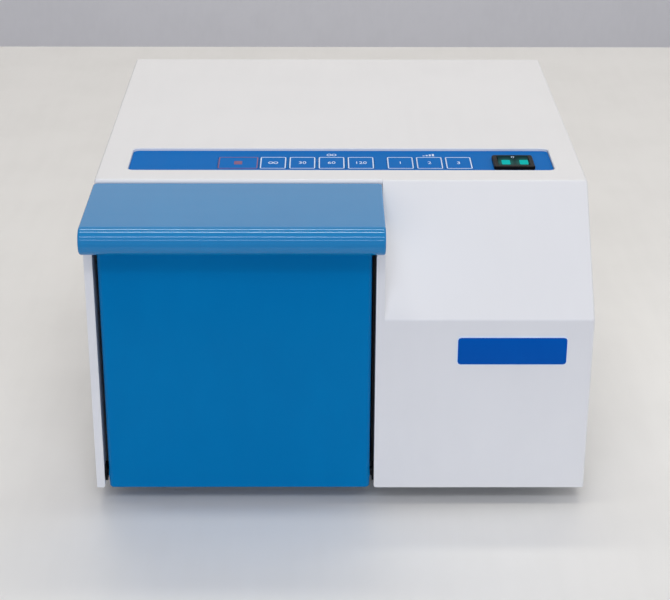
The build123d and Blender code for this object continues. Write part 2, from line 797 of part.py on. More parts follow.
with BuildPart() as shaft_seals:
    for places, rod_radius in ((shaft_places, shaft_radius), (guide_places, guide_radius)):
        with BuildSketch(front_plane(header)):
            with Locations(*places):
                Circle(rod_radius + seal_wall)
                Circle(rod_radius + side_clearance, mode=Mode.SUBTRACT)
        extrude(amount=liner_fit + liner_thickness)
        with BuildSketch(front_plane(liner_inner_back)):
            with Locations(*places):
                Circle(rod_radius + seal_wall + seal_lip)
                Circle(rod_radius + side_clearance, mode=Mode.SUBTRACT)
        extrude(amount=seal_lip, taper=45)
shaft_seals.part.label = "shaft_seals"
export_step(shaft_seals.part, "parts/shaft_seals.step")

# ================================================================== paddles
paddle_front = plate_face + bag_space
paddle_back = paddle_front + paddle_thickness

for side, paddle_x in paddle_middles.items():
    with BuildPart() as paddle:
        with BuildSketch(front_plane(paddle_back)):
            with Locations((paddle_x, shaft_z)):
                RectangleRounded(paddle_width, paddle_height, paddle_corner)
        extrude(amount=paddle_thickness)
        fillet(faces().sort_by(Axis.Y)[0].edges(), radius=paddle_edge)
        with BuildSketch(front_plane(paddle_back)):
            with Locations((paddle_x, shaft_z)):
                Circle(paddle_boss_radius)
            with Locations((paddle_x, guide_z)):
                Circle(paddle_boss_radius - shaft_radius + guide_radius)
        extrude(amount=-paddle_boss_length)
        with BuildSketch(front_plane(paddle_back - paddle_socket)):
            with Locations((paddle_x, shaft_z)):
                Circle(shaft_radius)
            with Locations((paddle_x, guide_z)):
                Circle(guide_radius)
        extrude(amount=-(paddle_socket + paddle_boss_length), mode=Mode.SUBTRACT)
    paddle.part.label = f"{side}_paddle"
    export_step(paddle.part, f"parts/{side}_paddle.step")

    with BuildPart() as paddle_shaft:
        with BuildSketch(front_plane(crosshead_y - wrist_pin_radius - seam)):
            with Locations((paddle_x, shaft_z)):
                Circle(shaft_radius)
        extrude(amount=crosshead_y - wrist_pin_radius - seam - paddle_back + paddle_socket)
    paddle_shaft.part.label = f"{side}_paddle_shaft"
    export_step(paddle_shaft.part, f"parts/{side}_paddle_shaft.step")

    with BuildPart() as guide_rod:
        with BuildSketch(front_plane(crosshead_y - crosshead_length / 2)):
            with Locations((paddle_x, guide_z)):
                Circle(guide_radius)
        extrude(amount=crosshead_y - crosshead_length / 2 - paddle_back + paddle_socket)
    guide_rod.part.label = f"{side}_guide_rod"
    export_step(guide_rod.part, f"parts/{side}_guide_rod.step")

    with BuildPart() as crosshead:
        with BuildSketch(front_plane(crosshead_y - crosshead_length / 2)):
            with Locations((paddle_x, shaft_z)):
                Rectangle(crosshead_width, crosshead_height)
                fillet(vertices(), radius=edge_radius)
        extrude(amount=-crosshead_length)
        with BuildSketch(front_plane(crosshead_y - crosshead_length / 2)):
            with Locations((paddle_x, shaft_z)):
                Circle(shaft_radius)
        extrude(amount=-(crosshead_length / 2 - wrist_pin_radius - seam), mode=Mode.SUBTRACT)
        with BuildSketch(side_plane(paddle_x - crosshead_width / 2)):
            with Locations((crosshead_y, shaft_z)):
                Circle(wrist_pin_radius + seam / 4)
        extrude(amount=crosshead_width, mode=Mode.SUBTRACT)
        with BuildSketch(side_plane(paddle_x - crosshead_width / 2)):
            with Locations((crosshead_y, shaft_z)):
                Circle(wrist_pin_radius)
        extrude(amount=crosshead_width)
    crosshead.part.label = f"{side}_crosshead"
    export_step(crosshead.part, f"parts/{side}_crosshead.step")

# ================================================================== drive frame
bearing_radius = crank_radius + running + bearing_wall
cheek_places = (frame_left, frame_right - frame_cheek)

with BuildPart() as drive_frame:
    with BuildSketch(side_plane(frame_left)):
        patch((header, pan_top), (frame_back, pan_top + frame_height))
    extrude(amount=frame_right - frame_left)
    for cheek_x in cheek_places:
        with BuildSketch(side_plane(cheek_x)):
            patch((header, pan_top), (crank_y + bearing_radius, pan_top + frame_foot_thickness))
            patch((header, pan_top), (frame_back, pan_top + frame_height))
            with Locations((crank_y, shaft_z)):
                Circle(bearing_radius + bearing_wall)
            make_hull()
            with Locations((crank_y, shaft_z)):
                Circle(bearing_radius, mode=Mode.SUBTRACT)
            with Locations(((frame_back + crank_y) / 2, shaft_z)):
                Circle(lightening_radius, mode=Mode.SUBTRACT)
        extrude(amount=frame_cheek)
    with BuildSketch(Plane.XY.offset(pan_top)):
        patch((frame_left - frame_foot, header), (frame_left, crank_y + bearing_radius))
        patch((frame_right, header), (frame_right + frame_foot, crank_y + bearing_radius))
        with Locations(*frame_bolts_at):
            Circle(bolt_radius, mode=Mode.SUBTRACT)
    extrude(amount=frame_foot_thickness)
    with BuildSketch(front_plane(header)):
        with Locations(*shaft_places):
            Circle(shaft_radius + running + bush_wall)
        with Locations(*guide_places):
            Circle(guide_radius + running + bush_wall)
    extrude(amount=-frame_wall, mode=Mode.SUBTRACT)
drive_frame.part.label = "drive_frame"
export_step(drive_frame.part, "parts/drive_frame.step")

with BuildPart() as frame_bolts:
    for places, seat in ((frame_bolts_at, frame_foot_thickness), (bracket_bolts_at, bracket_thickness)):
        with BuildSketch(Plane.XY.offset(pan_top + seat)):
            with Locations(*places):
                RegularPolygon(2 * bolt_radius, 6)
        extrude(amount=bolt_radius)
        with BuildSketch(Plane.XY.offset(pan_top + seat)):
            with Locations(*places):
                Circle(bolt_radius - seam / 4)
        extrude(amount=-(pan_thickness + seat))
frame_bolts.part.label = "frame_bolts"
export_step(frame_bolts.part, "parts/frame_bolts.step")

with BuildPart() as shaft_bushes:
    for places, rod_radius in ((shaft_places, shaft_radius), (guide_places, guide_radius)):
        with BuildSketch(front_plane(header)):
            with Locations(*places):
                Circle(rod_radius + running + bush_wall)
                Circle(rod_radius + running, mode=Mode.SUBTRACT)
        extrude(amount=-frame_wall)
        with BuildSketch(front_plane(frame_back)):
            with Locations(*places):
                Circle(rod_radius + running + 2 * bush_wall)
                Circle(rod_radius + running, mode=Mode.SUBTRACT)
        extrude(amount=-bush_flange)
shaft_bushes.part.label = "shaft_bushes"
export_step(shaft_bushes.part, "parts/shaft_bushes.step")

with BuildPart() as crank_bearings:
    for cheek_x in cheek_places:
        with BuildSketch(side_plane(cheek_x)):
            with Locations((crank_y, shaft_z)):
                Circle(bearing_radius)
                Circle(crank_radius + running, mode=Mode.SUBTRACT)
        extrude(amount=frame_cheek)
crank_bearings.part.label = "crank_bearings"
export_step(crank_bearings.part, "parts/crank_bearings.step")

# ================================================================== crank, rods and belt drive
crank_start = frame_left - shaft_end
rod_sides = {"left": 1, "right": -1}
ring_radius = eccentric_radius + running + rod_ring_wall

with BuildPart() as crankshaft:
    with BuildSketch(side_plane(crank_start)):
        with Locations((crank_y, shaft_z)):
            Circle(crank_radius)
    extrude(amount=pulley_right + shaft_end - crank_start)
    chamfer(edges().filter_by(GeomType.CIRCLE), length=shaft_end / 3)
crankshaft.part.label = "crankshaft"
export_step(crankshaft.part, "parts/crankshaft.step")

rod_starts = {}
for side, paddle_x in paddle_middles.items():
    inward = crosshead_width / 2 + side_clearance
    rod_starts[side] = paddle_x + inward if side == "left" else paddle_x - inward - rod_thickness

with BuildPart() as eccentrics:
    for side, up in rod_sides.items():
        with BuildSketch(side_plane(rod_starts[side] - eccentric_overhang)):
            with Locations((crank_y, shaft_z + up * crank_throw)):
                Circle(eccentric_radius)
            with Locations((crank_y, shaft_z)):
                Circle(crank_radius, mode=Mode.SUBTRACT)
        extrude(amount=rod_thickness + 2 * eccentric_overhang)
eccentrics.part.label = "eccentrics"
export_step(eccentrics.part, "parts/eccentrics.step")

for side, up in rod_sides.items():
    with BuildPart() as connecting_rod:
        with BuildSketch(side_plane(rod_starts[side])):
            with Locations((crosshead_y, shaft_z)):
                Circle(rod_shank / 2)
            with Locations((crank_y, shaft_z + up * crank_throw)):
                Circle(rod_shank)
            make_hull()
            with Locations((crosshead_y, shaft_z)):
                Circle(rod_eye_radius)
            with Locations((crank_y, shaft_z + up * crank_throw)):
                Circle(ring_radius)
                Circle(eccentric_radius + running, mode=Mode.SUBTRACT)
            with Locations((crosshead_y, shaft_z)):
                Circle(wrist_pin_radius + running, mode=Mode.SUBTRACT)
        extrude(amount=rod_thickness)
    connecting_rod.part.label = f"{side}_connecting_rod"
    export_step(connecting_rod.part, f"parts/{side}_connecting_rod.step")

with BuildPart() as crank_pulley:
    for flange_x in (pulley_left, pulley_right - pulley_flange):
        with BuildSketch(side_plane(flange_x)):
            with Locations((crank_y, shaft_z)):
                Circle(crank_pulley_radius + pulley_flange_rise)
        extrude(amount=pulley_flange)
    with BuildSketch(side_plane(pulley_left)):
        with Locations((crank_y, shaft_z)):
            Circle(crank_pulley_radius)
    extrude(amount=pulley_width)
    with BuildSketch(side_plane(pulley_right)):
        with Locations((crank_y, shaft_z)):
            Circle(crank_pulley_radius - pulley_rim)
            Circle(hub_radius, mode=Mode.SUBTRACT)
    extrude(amount=web_thickness - pulley_width, mode=Mode.SUBTRACT)
    with BuildSketch(side_plane(pulley_left)):
        with Locations((crank_y, shaft_z)):
            Circle(crank_radius)
            with PolarLocations((crank_pulley_radius - pulley_rim + hub_radius) / 2, pulley_hole_count):
                Circle(pulley_hole_radius)
    extrude(amount=pulley_width, mode=Mode.SUBTRACT)
crank_pulley.part.label = "crank_pulley"
export_step(crank_pulley.part, "parts/crank_pulley.step")

with BuildPart() as motor_pulley:
    for flange_x in (pulley_left, pulley_right - pulley_flange):
        with BuildSketch(side_plane(flange_x)):
            with Locations((motor_y, motor_z)):
                Circle(motor_pulley_radius + pulley_flange_rise)
        extrude(amount=pulley_flange)
    with BuildSketch(side_plane(pulley_left)):
        with Locations((motor_y, motor_z)):
            Circle(motor_pulley_radius)
    extrude(amount=pulley_width)
    with BuildSketch(side_plane(pulley_left)):
        with Locations((motor_y, motor_z)):
            Circle(motor_shaft_radius)
    extrude(amount=pulley_width, mode=Mode.SUBTRACT)
motor_pulley.part.label = "motor_pulley"
export_step(motor_pulley.part, "parts/motor_pulley.step")

with BuildPart() as motor_shaft:
    with BuildSketch(side_plane(pulley_left - shaft_end)):
        with Locations((motor_y, motor_z)):
            Circle(motor_shaft_radius)
    extrude(amount=motor_left + motor_socket - pulley_left + shaft_end)
motor_shaft.part.label = "motor_shaft"
export_step(motor_shaft.part, "parts/motor_shaft.step")

belt_width = pulley_width - 2 * pulley_flange - 2 * side_clearance
belt_left = pulley_left + pulley_flange + side_clearance

with BuildSketch(side_plane(belt_left)) as belt_inside:
    with Locations((crank_y, shaft_z)):
        Circle(crank_pulley_radius + belt_clearance)
    with Locations((motor_y, motor_z)):
        Circle(motor_pulley_radius + belt_clearance)
    make_hull()

with BuildPart() as drive_belt:
    with BuildSketch(side_plane(belt_left)):
        with Locations((crank_y, shaft_z)):
            Circle(crank_pulley_radius + belt_clearance + belt_thickness)
        with Locations((motor_y, motor_z)):
            Circle(motor_pulley_radius + belt_clearance + belt_thickness)
        make_hull()
        add(belt_inside.sketch_local, mode=Mode.SUBTRACT)
    extrude(amount=belt_width)
drive_belt.part.label = "drive_belt"
export_step(drive_belt.part, "parts/drive_belt.step")

with BuildPart() as motor:
    with BuildSketch(side_plane(motor_left)):
        with Locations((motor_y, motor_z)):
            Circle(motor_radius - motor_cap_step)
    extrude(amount=motor_right - motor_left)
    with BuildSketch(side_plane(motor_left + motor_cap)):
        with Locations((motor_y, motor_z)):
            Circle(motor_radius)
    extrude(amount=motor_right - motor_left - 2 * motor_cap)
    with BuildSketch(side_plane(motor_left)):
        with Locations((motor_y, motor_z)):
            Circle(motor_nose_radius)
    extrude(amount=-motor_nose_length)
    with BuildSketch(side_plane(motor_left - motor_nose_length)):
        with Locations((motor_y, motor_z)):
            Circle(motor_shaft_radius + running)
    extrude(amount=motor_nose_length + motor_socket + seam, mode=Mode.SUBTRACT)
motor.part.label = "motor"
export_step(motor.part, "parts/motor.step")

with BuildPart() as motor_bracket:
    with BuildSketch(side_plane(bracket_left)):
        patch((motor_y - bracket_round, pan_top), (motor_y + bracket_round, pan_top + bracket_thickness))
        with Locations((motor_y, motor_z)):
            Circle(bracket_round)
        make_hull()
        with Locations((motor_y, motor_z)):
            Circle(motor_nose_radius, mode=Mode.SUBTRACT)
    extrude(amount=bracket_thickness)
    with BuildSketch(Plane.XY.offset(pan_top)):
        patch((bracket_left, motor_y - bracket_round), (motor_left + motor_foot, motor_y + bracket_round))
        with Locations(*bracket_bolts_at):
            Circle(bolt_radius, mode=Mode.SUBTRACT)
    extrude(amount=bracket_thickness)
motor_bracket.part.label = "motor_bracket"
export_step(motor_bracket.part, "parts/motor_bracket.step")

# ================================================================== electrics
board_back = board_front + control_board_length
board_middle_y = (board_front + board_back) / 2
board_surface = board_level + board_thickness
keypad_board_top = floor_underside - seam
keypad_board_bottom = keypad_board_top - board_thickness
keypad_left = keys["stop_key"][0] - stop_key_width / 2 - board_overlap
keypad_right = keys[f"speed_key_{speed_key_count}"][0] + key_width / 2 + board_overlap
connector_width = ribbon_width + connector_wall
ribbon_x = keypad_right - connector_width / 2

with BuildPart() as control_board:
    with BuildSketch(Plane.XY.offset(board_level)):
        patch((board_left, board_front), (board_right, board_back))
        with Locations(*standoffs_at):
            Circle(screw_radius, mode=Mode.SUBTRACT)
    extrude(amount=board_thickness)
    with BuildSketch(Plane.XY.offset(board_surface)):
        with Locations((ribbon_x, key_y)):
            Rectangle(connector_width, standoff_height)
        with Locations((board_right - standoff_height, board_middle_y)):
            Rectangle(standoff_height, 2 * ribbon_width)
    extrude(amount=connector_height)
    with BuildSketch(Plane.XY.offset(board_surface)):
        with Locations((board_left + ribbon_width, board_back - ribbon_width)):
            with GridLocations(3 * capacitor_radius, 0, 2, 1):
                Circle(capacitor_radius)
    extrude(amount=capacitor_height)
control_board.part.label = "control_board"
export_step(control_board.part, "parts/control_board.step")

transformer_x = right - wall - lug_size - transformer_width / 2 - lug_size
transformer_y = board_back + transformer_length / 2 + lug_size
with BuildPart() as transformer:
    with BuildSketch(Plane.XY.offset(pan_top)):
        with Locations((transformer_x, transformer_y)):
            Rectangle(transformer_width, transformer_core)
    extrude(amount=transformer_height)
    coil_gap = (transformer_height - transformer_core) / 4
    with BuildSketch(Plane.XY.offset(pan_top + coil_gap)):
        with Locations((transformer_x, transformer_y)):
            RectangleRounded(transformer_width - transformer_core, transformer_length, coil_gap)
    extrude(amount=transformer_height - 2 * coil_gap)
transformer.part.label = "transformer"
export_step(transformer.part, "parts/transformer.step")

with BuildPart() as keypad_board:
    with BuildSketch(Plane.XY.offset(keypad_board_bottom)):
        patch(
            (keypad_left, key_y - key_length / 2 - board_overlap),
            (keypad_right, key_y + key_length / 2 + board_overlap),
        )
    extrude(amount=board_thickness)
    with BuildSketch(Plane.XY.offset(keypad_board_top)):
        for key_x, width in keys.values():
            with Locations((key_x, key_y)):
                Circle(dome_radius)
    extrude(amount=dome_height, taper=45)
keypad_board.part.label = "keypad_board"
export_step(keypad_board.part, "parts/keypad_board.step")

with BuildPart() as keypad_ribbon:
    ribbon_bottom = board_surface + connector_height
    ribbon_middle = (ribbon_bottom + keypad_board_bottom) / 2
    far_side = key_y + ribbon_thickness
    with BuildSketch(side_plane(ribbon_x - ribbon_width / 2)):
        with BuildLine():
            ThreePointArc(
                (key_y, ribbon_bottom), (key_y + ribbon_bow, ribbon_middle), (key_y, keypad_board_bottom)
            )
            Line((key_y, keypad_board_bottom), (far_side, keypad_board_bottom))
            ThreePointArc(
                (far_side, keypad_board_bottom),
                (far_side + ribbon_bow, ribbon_middle),
                (far_side, ribbon_bottom),
            )
            Line((far_side, ribbon_bottom), (key_y, ribbon_bottom))
        make_face()
    extrude(amount=ribbon_width)
keypad_ribbon.part.label = "keypad_ribbon"
export_step(keypad_ribbon.part, "parts/keypad_ribbon.step")

# ================================================================== keypad overlay and keys
overlay_top = recess_floor + overlay_thickness
key_top = overlay_top + key_rise
key_bottom = keypad_board_top + dome_height + key_travel + dome_slack

with BuildPart() as keypad_overlay:
    with BuildSketch(Plane.XY.offset(recess_floor)):
        with Locations((overlay_middle_x, overlay_middle_y)):
            RectangleRounded(overlay_width - seam, overlay_length - seam, overlay_corner - seam / 2)
        for key_x, width in keys.values():
            with Locations((key_x, key_y)):
                RectangleRounded(
                    width + 2 * key_gap, key_length + 2 * key_gap, key_corner + key_gap, mode=Mode.SUBTRACT
                )
        with Locations((switch_x, switch_y)):
            Rectangle(
                switch_hole_width + 2 * key_gap, switch_hole_length + 2 * key_gap, mode=Mode.SUBTRACT
            )
    extrude(amount=overlay_thickness)
keypad_overlay.part.label = "keypad_overlay"
export_step(keypad_overlay.part, "parts/keypad_overlay.step")

for key_name, (key_x, width) in keys.items():
    with BuildPart() as key:
        with BuildSketch(Plane.XY.offset(key_bottom)):
            with Locations((key_x, key_y)):
                RectangleRounded(width, key_length, key_corner)
        extrude(amount=key_top - key_bottom)
        chamfer(faces().sort_by(Axis.Z)[-1].edges(), length=key_rise)
    key.part.label = key_name
    export_step(key.part, f"parts/{key_name}.step")

# ================================================================== rocker switch
bezel_top = overlay_top + switch_bezel_height
pivot_z = bezel_top - pivot_below_bezel
cavity_width = switch_hole_width - 2 * switch_shell
cavity_length = switch_hole_length - 2 * switch_shell
cavity_bottom = pivot_z - rocker_depth - rocker_floor
rocker_width = cavity_width - 2 * rocker_clearance
rocker_reach = cavity_length / 2 - rocker_clearance
rocker_half = sqrt(rocker_reach**2 - rocker_end_rise**2)

with BuildPart() as switch_housing:
    with BuildSketch(Plane.XY.offset(overlay_top)):
        with Locations((switch_x, switch_y)):
            RectangleRounded(switch_width, switch_length, switch_shell)
    extrude(amount=switch_bezel_height)
    chamfer(faces().sort_by(Axis.Z)[-1].edges(), length=recess_bevel)
    with BuildSketch(Plane.XY.offset(overlay_top)):
        with Locations((switch_x, switch_y)):
            Rectangle(switch_hole_width, switch_hole_length)
    extrude(amount=-switch_body_depth)
    with BuildSketch(Plane.XY.offset(bezel_top)):
        with Locations((switch_x, switch_y)):
            Rectangle(cavity_width, cavity_length)
    extrude(amount=cavity_bottom - bezel_top, mode=Mode.SUBTRACT)
    with BuildSketch(side_plane(switch_x - cavity_width / 2 - trunnion_length)):
        with Locations((switch_y, pivot_z)):
            Circle(trunnion_radius + running)
    extrude(amount=cavity_width + 2 * trunnion_length, mode=Mode.SUBTRACT)
    with BuildSketch(Plane.XY.offset(overlay_top - switch_body_depth)):
        with Locations((switch_x, switch_y)):
            with GridLocations(switch_hole_width / 2, switch_hole_length / 3, 2, 3):
                Rectangle(switch_shell / 2, 3 * switch_shell)
    extrude(amount=-switch_body_depth / 2)
switch_housing.part.label = "switch_housing"
export_step(switch_housing.part, "parts/switch_housing.step")

tilt = radians(rocker_swing)
rocker_plane = Plane(
    (switch_x - rocker_width / 2, switch_y, pivot_z), x_dir=(0, cos(tilt), sin(tilt)), z_dir=(1, 0, 0)
)
with BuildPart() as rocker:
    with BuildSketch(rocker_plane):
        with BuildLine():
            Polyline(
                (-rocker_half, rocker_end_rise),
                (-rocker_half, -rocker_skirt),
                (-rocker_half / 2, -rocker_depth),
                (rocker_half / 2, -rocker_depth),
                (rocker_half, -rocker_skirt),
                (rocker_half, rocker_end_rise),
            )
            ThreePointArc((rocker_half, rocker_end_rise), (0, rocker_dip), (-rocker_half, rocker_end_rise))
        make_face()
    extrude(amount=rocker_width)
    with BuildSketch(side_plane(switch_x - rocker_width / 2 - rocker_clearance - trunnion_length + running)):
        with Locations((switch_y, pivot_z)):
            Circle(trunnion_radius)
    extrude(amount=rocker_width + 2 * (rocker_clearance + trunnion_length - running))
rocker.part.label = "rocker"
export_step(rocker.part, "parts/rocker.step")

for joint_name, place in {
    "door_hinge": (0, hinge_y, hinge_z),
    "crank": (0, crank_y, shaft_z),
    "left_rod": (rod_starts["left"], crank_y, shaft_z + crank_throw),
    "right_rod": (rod_starts["right"], crank_y, shaft_z - crank_throw),
    "motor": (0, motor_y, motor_z),
    "rocker": (switch_x, switch_y, pivot_z),
}.items():
    print(joint_name, [round(value / 1000, 6) for value in place])
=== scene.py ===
import logging
import math
from dataclasses import dataclass, field
from enum import Enum

import bmesh
import bpy
from mathutils import Matrix, Vector


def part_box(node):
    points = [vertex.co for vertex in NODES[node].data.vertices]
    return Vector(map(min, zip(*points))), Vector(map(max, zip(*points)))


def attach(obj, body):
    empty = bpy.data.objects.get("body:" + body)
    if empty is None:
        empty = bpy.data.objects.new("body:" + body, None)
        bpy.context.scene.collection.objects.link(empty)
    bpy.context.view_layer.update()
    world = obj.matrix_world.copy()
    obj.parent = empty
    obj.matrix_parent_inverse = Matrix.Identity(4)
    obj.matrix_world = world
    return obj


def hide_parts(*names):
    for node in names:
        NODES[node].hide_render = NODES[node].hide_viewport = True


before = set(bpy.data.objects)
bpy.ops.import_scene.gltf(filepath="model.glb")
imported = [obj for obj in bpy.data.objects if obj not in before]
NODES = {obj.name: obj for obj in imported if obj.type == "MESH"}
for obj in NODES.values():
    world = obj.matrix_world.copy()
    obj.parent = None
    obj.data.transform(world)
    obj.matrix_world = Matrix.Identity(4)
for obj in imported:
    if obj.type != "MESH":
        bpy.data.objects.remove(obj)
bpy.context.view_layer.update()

MM = 0.001
MERGE_DISTANCE = 0.0005
PHOTO_WIDTH = 670
MIDDLE = (0.0, 0.0, 0.1)
LOG = logging.getLogger("bench_blender")

Screen = tuple[int, int, int]
Colour = tuple[float, float, float, float]


def linear(screen: Screen) -> Colour:
    """Turns a screen colour into the linear colour that shaders take.

    Args:
        screen: Red, green and blue from 0 to 255.

    Returns:
        The linear colour with full opacity.
    """

    def channel(value: int) -> float:
        """Gives one linear channel."""
        share = value / 255.0
        return share / 12.92 if share <= 0.04045 else ((share + 0.055) / 1.055) ** 2.4

    red, green, blue = (channel(value) for value in screen)
    return (red, green, blue, 1.0)


# ---------------------------------------------------------------- shared shader effects
class NodeTree:
    """A tree of shader nodes, with short ways to add and join them."""

    def __init__(self, tree: bpy.types.NodeTree) -> None:
        """Takes the tree that the nodes go in."""
        self.tree = tree

    def add(self, kind: str, **settings: object) -> bpy.types.Node:
        """Adds one node.

        Args:
            kind: Blender's name for the node type.
            **settings: Properties to set on the node.

        Returns:
            The new node.
        """
        node = self.tree.nodes.new(kind)
        for key, value in settings.items():
            setattr(node, key, value)
        return node

    def join(self, source: bpy.types.NodeSocket, target: bpy.types.NodeSocket) -> None:
        """Links one socket to another."""
        self.tree.links.new(source, target)

    def feed(self, value: object, target: bpy.types.NodeSocket) -> None:
        """Gives a socket its value, by a link or as a number.

        Args:
            value: A socket or a number.
            target: The socket that takes it.
        """
        if isinstance(value, bpy.types.NodeSocket):
            self.join(value, target)
        else:
            target.default_value = value

    def maths(self, operation: str, first: object, second: object) -> bpy.types.NodeSocket:
        """Adds a Math node.

        Args:
            operation: Blender's name for the operation.
            first: A socket or a number.
            second: A socket or a number.

        Returns:
            The node's result.
        """
        node = self.add("ShaderNodeMath", operation=operation)
        self.feed(first, node.inputs[0])
        self.feed(second, node.inputs[1])
        return node.outputs[0]

    def mix(self, share: bpy.types.NodeSocket, low: Colour, high: Colour) -> bpy.types.NodeSocket:
        """Mixes two colours.

        Args:
            share: From 0 to 1.
            low: The colour where the share is 0.
            high: The colour where the share is 1.

        Returns:
            The mixed colour.
        """
        node = self.add("ShaderNodeMix", data_type="RGBA")
        self.join(share, node.inputs[0])
        node.inputs[6].default_value = low
        node.inputs[7].default_value = high
        return node.outputs[2]

    def ramp(
        self,
        value: bpy.types.NodeSocket,
        source: tuple[float, float] = (0.0, 1.0),
        target: tuple[float, float] = (0.0, 1.0),
        curve: str = "SMOOTHSTEP",
    ) -> bpy.types.NodeSocket:
        """Turns one range of a value into another, level at both ends.

        Args:
            value: The value.
            source: Where the range starts and ends.
            target: What it turns into at its start and end.
            curve: Blender's name for the way between them.

        Returns:
            The new value.
        """
        node = self.add("ShaderNodeMapRange", interpolation_type=curve)
        self.join(value, node.inputs["Value"])
        for title, number in zip(("From Min", "From Max", "To Min", "To Max"), source + target):
            node.inputs[title].default_value = number
        return node.outputs["Result"]


class Effect(NodeTree):
    """A shader node group with named inputs and outputs, built once and placed in many finishes."""

    def __init__(self, name: str, inputs: dict[str, float], outputs: tuple[str, ...]) -> None:
        """Makes the group's sockets.

        Args:
            name: Name of the node group.
            inputs: Number inputs with their usual values, besides the vector input.
            outputs: Names of the number outputs.
        """
        super().__init__(bpy.data.node_groups.new(name, "ShaderNodeTree"))
        face = self.tree.interface
        face.new_socket(name="Vector", in_out="INPUT", socket_type="NodeSocketVector")
        for title, usual in inputs.items():
            socket = face.new_socket(name=title, in_out="INPUT", socket_type="NodeSocketFloat")
            socket.default_value = usual
        for title in outputs:
            face.new_socket(name=title, in_out="OUTPUT", socket_type="NodeSocketFloat")
        self.entry = self.add("NodeGroupInput").outputs
        self.exit = self.add("NodeGroupOutput").inputs

    def noise(
        self, scale: object, detail: float, stretch: tuple[float, float, float] | None = None
    ) -> bpy.types.NodeSocket:
        """Adds a noise texture on the group's vector.

        Args:
            scale: A socket or a number, in lumps per metre.
            detail: Octaves of finer noise.
            stretch: Scale of each axis, or None to leave the vector as it is.

        Returns:
            The noise value.
        """
        vector = self.entry["Vector"]
        if stretch is not None:
            turn = self.add("ShaderNodeMapping")
            turn.inputs["Scale"].default_value = stretch
            self.join(vector, turn.inputs["Vector"])
            vector = turn.outputs["Vector"]
        node = self.add("ShaderNodeTexNoise")
        self.join(vector, node.inputs["Vector"])
        self.feed(scale, node.inputs["Scale"])
        self.feed(detail, node.inputs["Detail"])
        return node.outputs["Fac"]


def orange_peel() -> Effect:
    """Builds the skin of stoved paint: soft dimples with finer ones between them.

    Returns:
        The effect, which gives a relief.
    """
    finer = 2.7
    fine_share = 0.35
    effect = Effect("orange_peel", {"Dimples": 600.0}, ("Height",))
    scale = effect.entry["Dimples"]
    dimples = effect.noise(scale, 1.0)
    fine = effect.noise(effect.maths("MULTIPLY", scale, finer), 2.0)
    height = effect.maths("ADD", dimples, effect.maths("MULTIPLY", fine, fine_share))
    effect.join(height, effect.exit["Height"])
    return effect


def handling() -> Effect:
    """Builds faint cloudy marks of wiping and handling, from 0 for clean to 1.

    Returns:
        The effect, which gives a mask.
    """
    wiping = (1.0, 0.12, 0.35)
    shown = (0.28, 0.78)
    effect = Effect("handling", {"Clouds": 14.0, "Streaks": 90.0}, ("Mask",))
    clouds = effect.noise(effect.entry["Clouds"], 4.0)
    streaks = effect.noise(effect.entry["Streaks"], 3.0, wiping)
    blend = effect.maths("MULTIPLY", clouds, effect.maths("ADD", streaks, 0.5))
    effect.join(effect.ramp(blend, shown), effect.exit["Mask"])
    return effect


def brushed() -> Effect:
    """Builds the long fine scratches of brushed or ground metal, along X.

    Returns:
        The effect, which gives a relief and a mask.
    """
    scratches = (0.04, 4.0, 4.0)
    bands = (0.01, 0.6, 0.6)
    effect = Effect("brushed", {"Lines": 260.0}, ("Height", "Mask"))
    lines = effect.noise(effect.entry["Lines"], 4.0, scratches)
    broad = effect.noise(effect.entry["Lines"], 2.0, bands)
    effect.join(lines, effect.exit["Height"])
    effect.join(effect.maths("MULTIPLY", lines, effect.maths("ADD", broad, 0.5)), effect.exit["Mask"])
    return effect


def cast_skin() -> Effect:
    """Builds the pitted skin of a casting or of moulded rubber.

    Returns:
        The effect, which gives a relief and a mask.
    """
    patches = 60.0
    effect = Effect("cast_skin", {"Grains": 900.0}, ("Height", "Mask"))
    cells = effect.add("ShaderNodeTexVoronoi")
    effect.join(effect.entry["Vector"], cells.inputs["Vector"])
    effect.join(effect.entry["Grains"], cells.inputs["Scale"])
    rough = effect.noise(effect.entry["Grains"], 3.0)
    effect.join(effect.maths("ADD", cells.outputs["Distance"], rough), effect.exit["Height"])
    effect.join(effect.noise(patches, 5.0), effect.exit["Mask"])
    return effect


def light_pool() -> Effect:
    """Builds the glow that spreads through plastic round two small lamps, from 0 to 1.

    Returns:
        The effect, which gives a mask.
    """
    places = {"Across": 0.0, "Along": 0.0, "Spacing": 0.01, "Reach": 0.01}
    effect = Effect("light_pool", places, ("Mask",))
    axes = effect.add("ShaderNodeSeparateXYZ")
    effect.join(effect.entry["Vector"], axes.inputs["Vector"])
    across = effect.maths("SUBTRACT", axes.outputs["X"], effect.entry["Across"])
    half_spacing = effect.maths("MULTIPLY", effect.entry["Spacing"], 0.5)
    beside = effect.maths("SUBTRACT", effect.maths("ABSOLUTE", across, 0.0), half_spacing)
    along = effect.maths("SUBTRACT", axes.outputs["Y"], effect.entry["Along"])
    square_beside = effect.maths("MULTIPLY", beside, beside)
    square_along = effect.maths("MULTIPLY", along, along)
    distance = effect.maths("SQRT", effect.maths("ADD", square_beside, square_along), 0.0)
    share = effect.maths("DIVIDE", distance, effect.entry["Reach"])
    effect.join(effect.ramp(share, target=(1.0, 0.0)), effect.exit["Mask"])
    return effect


class Effects(Enum):
    """The shared effects, each built once."""

    PEEL = orange_peel()
    HANDLING = handling()
    BRUSHED = brushed()
    CAST = cast_skin()
    POOL = light_pool()


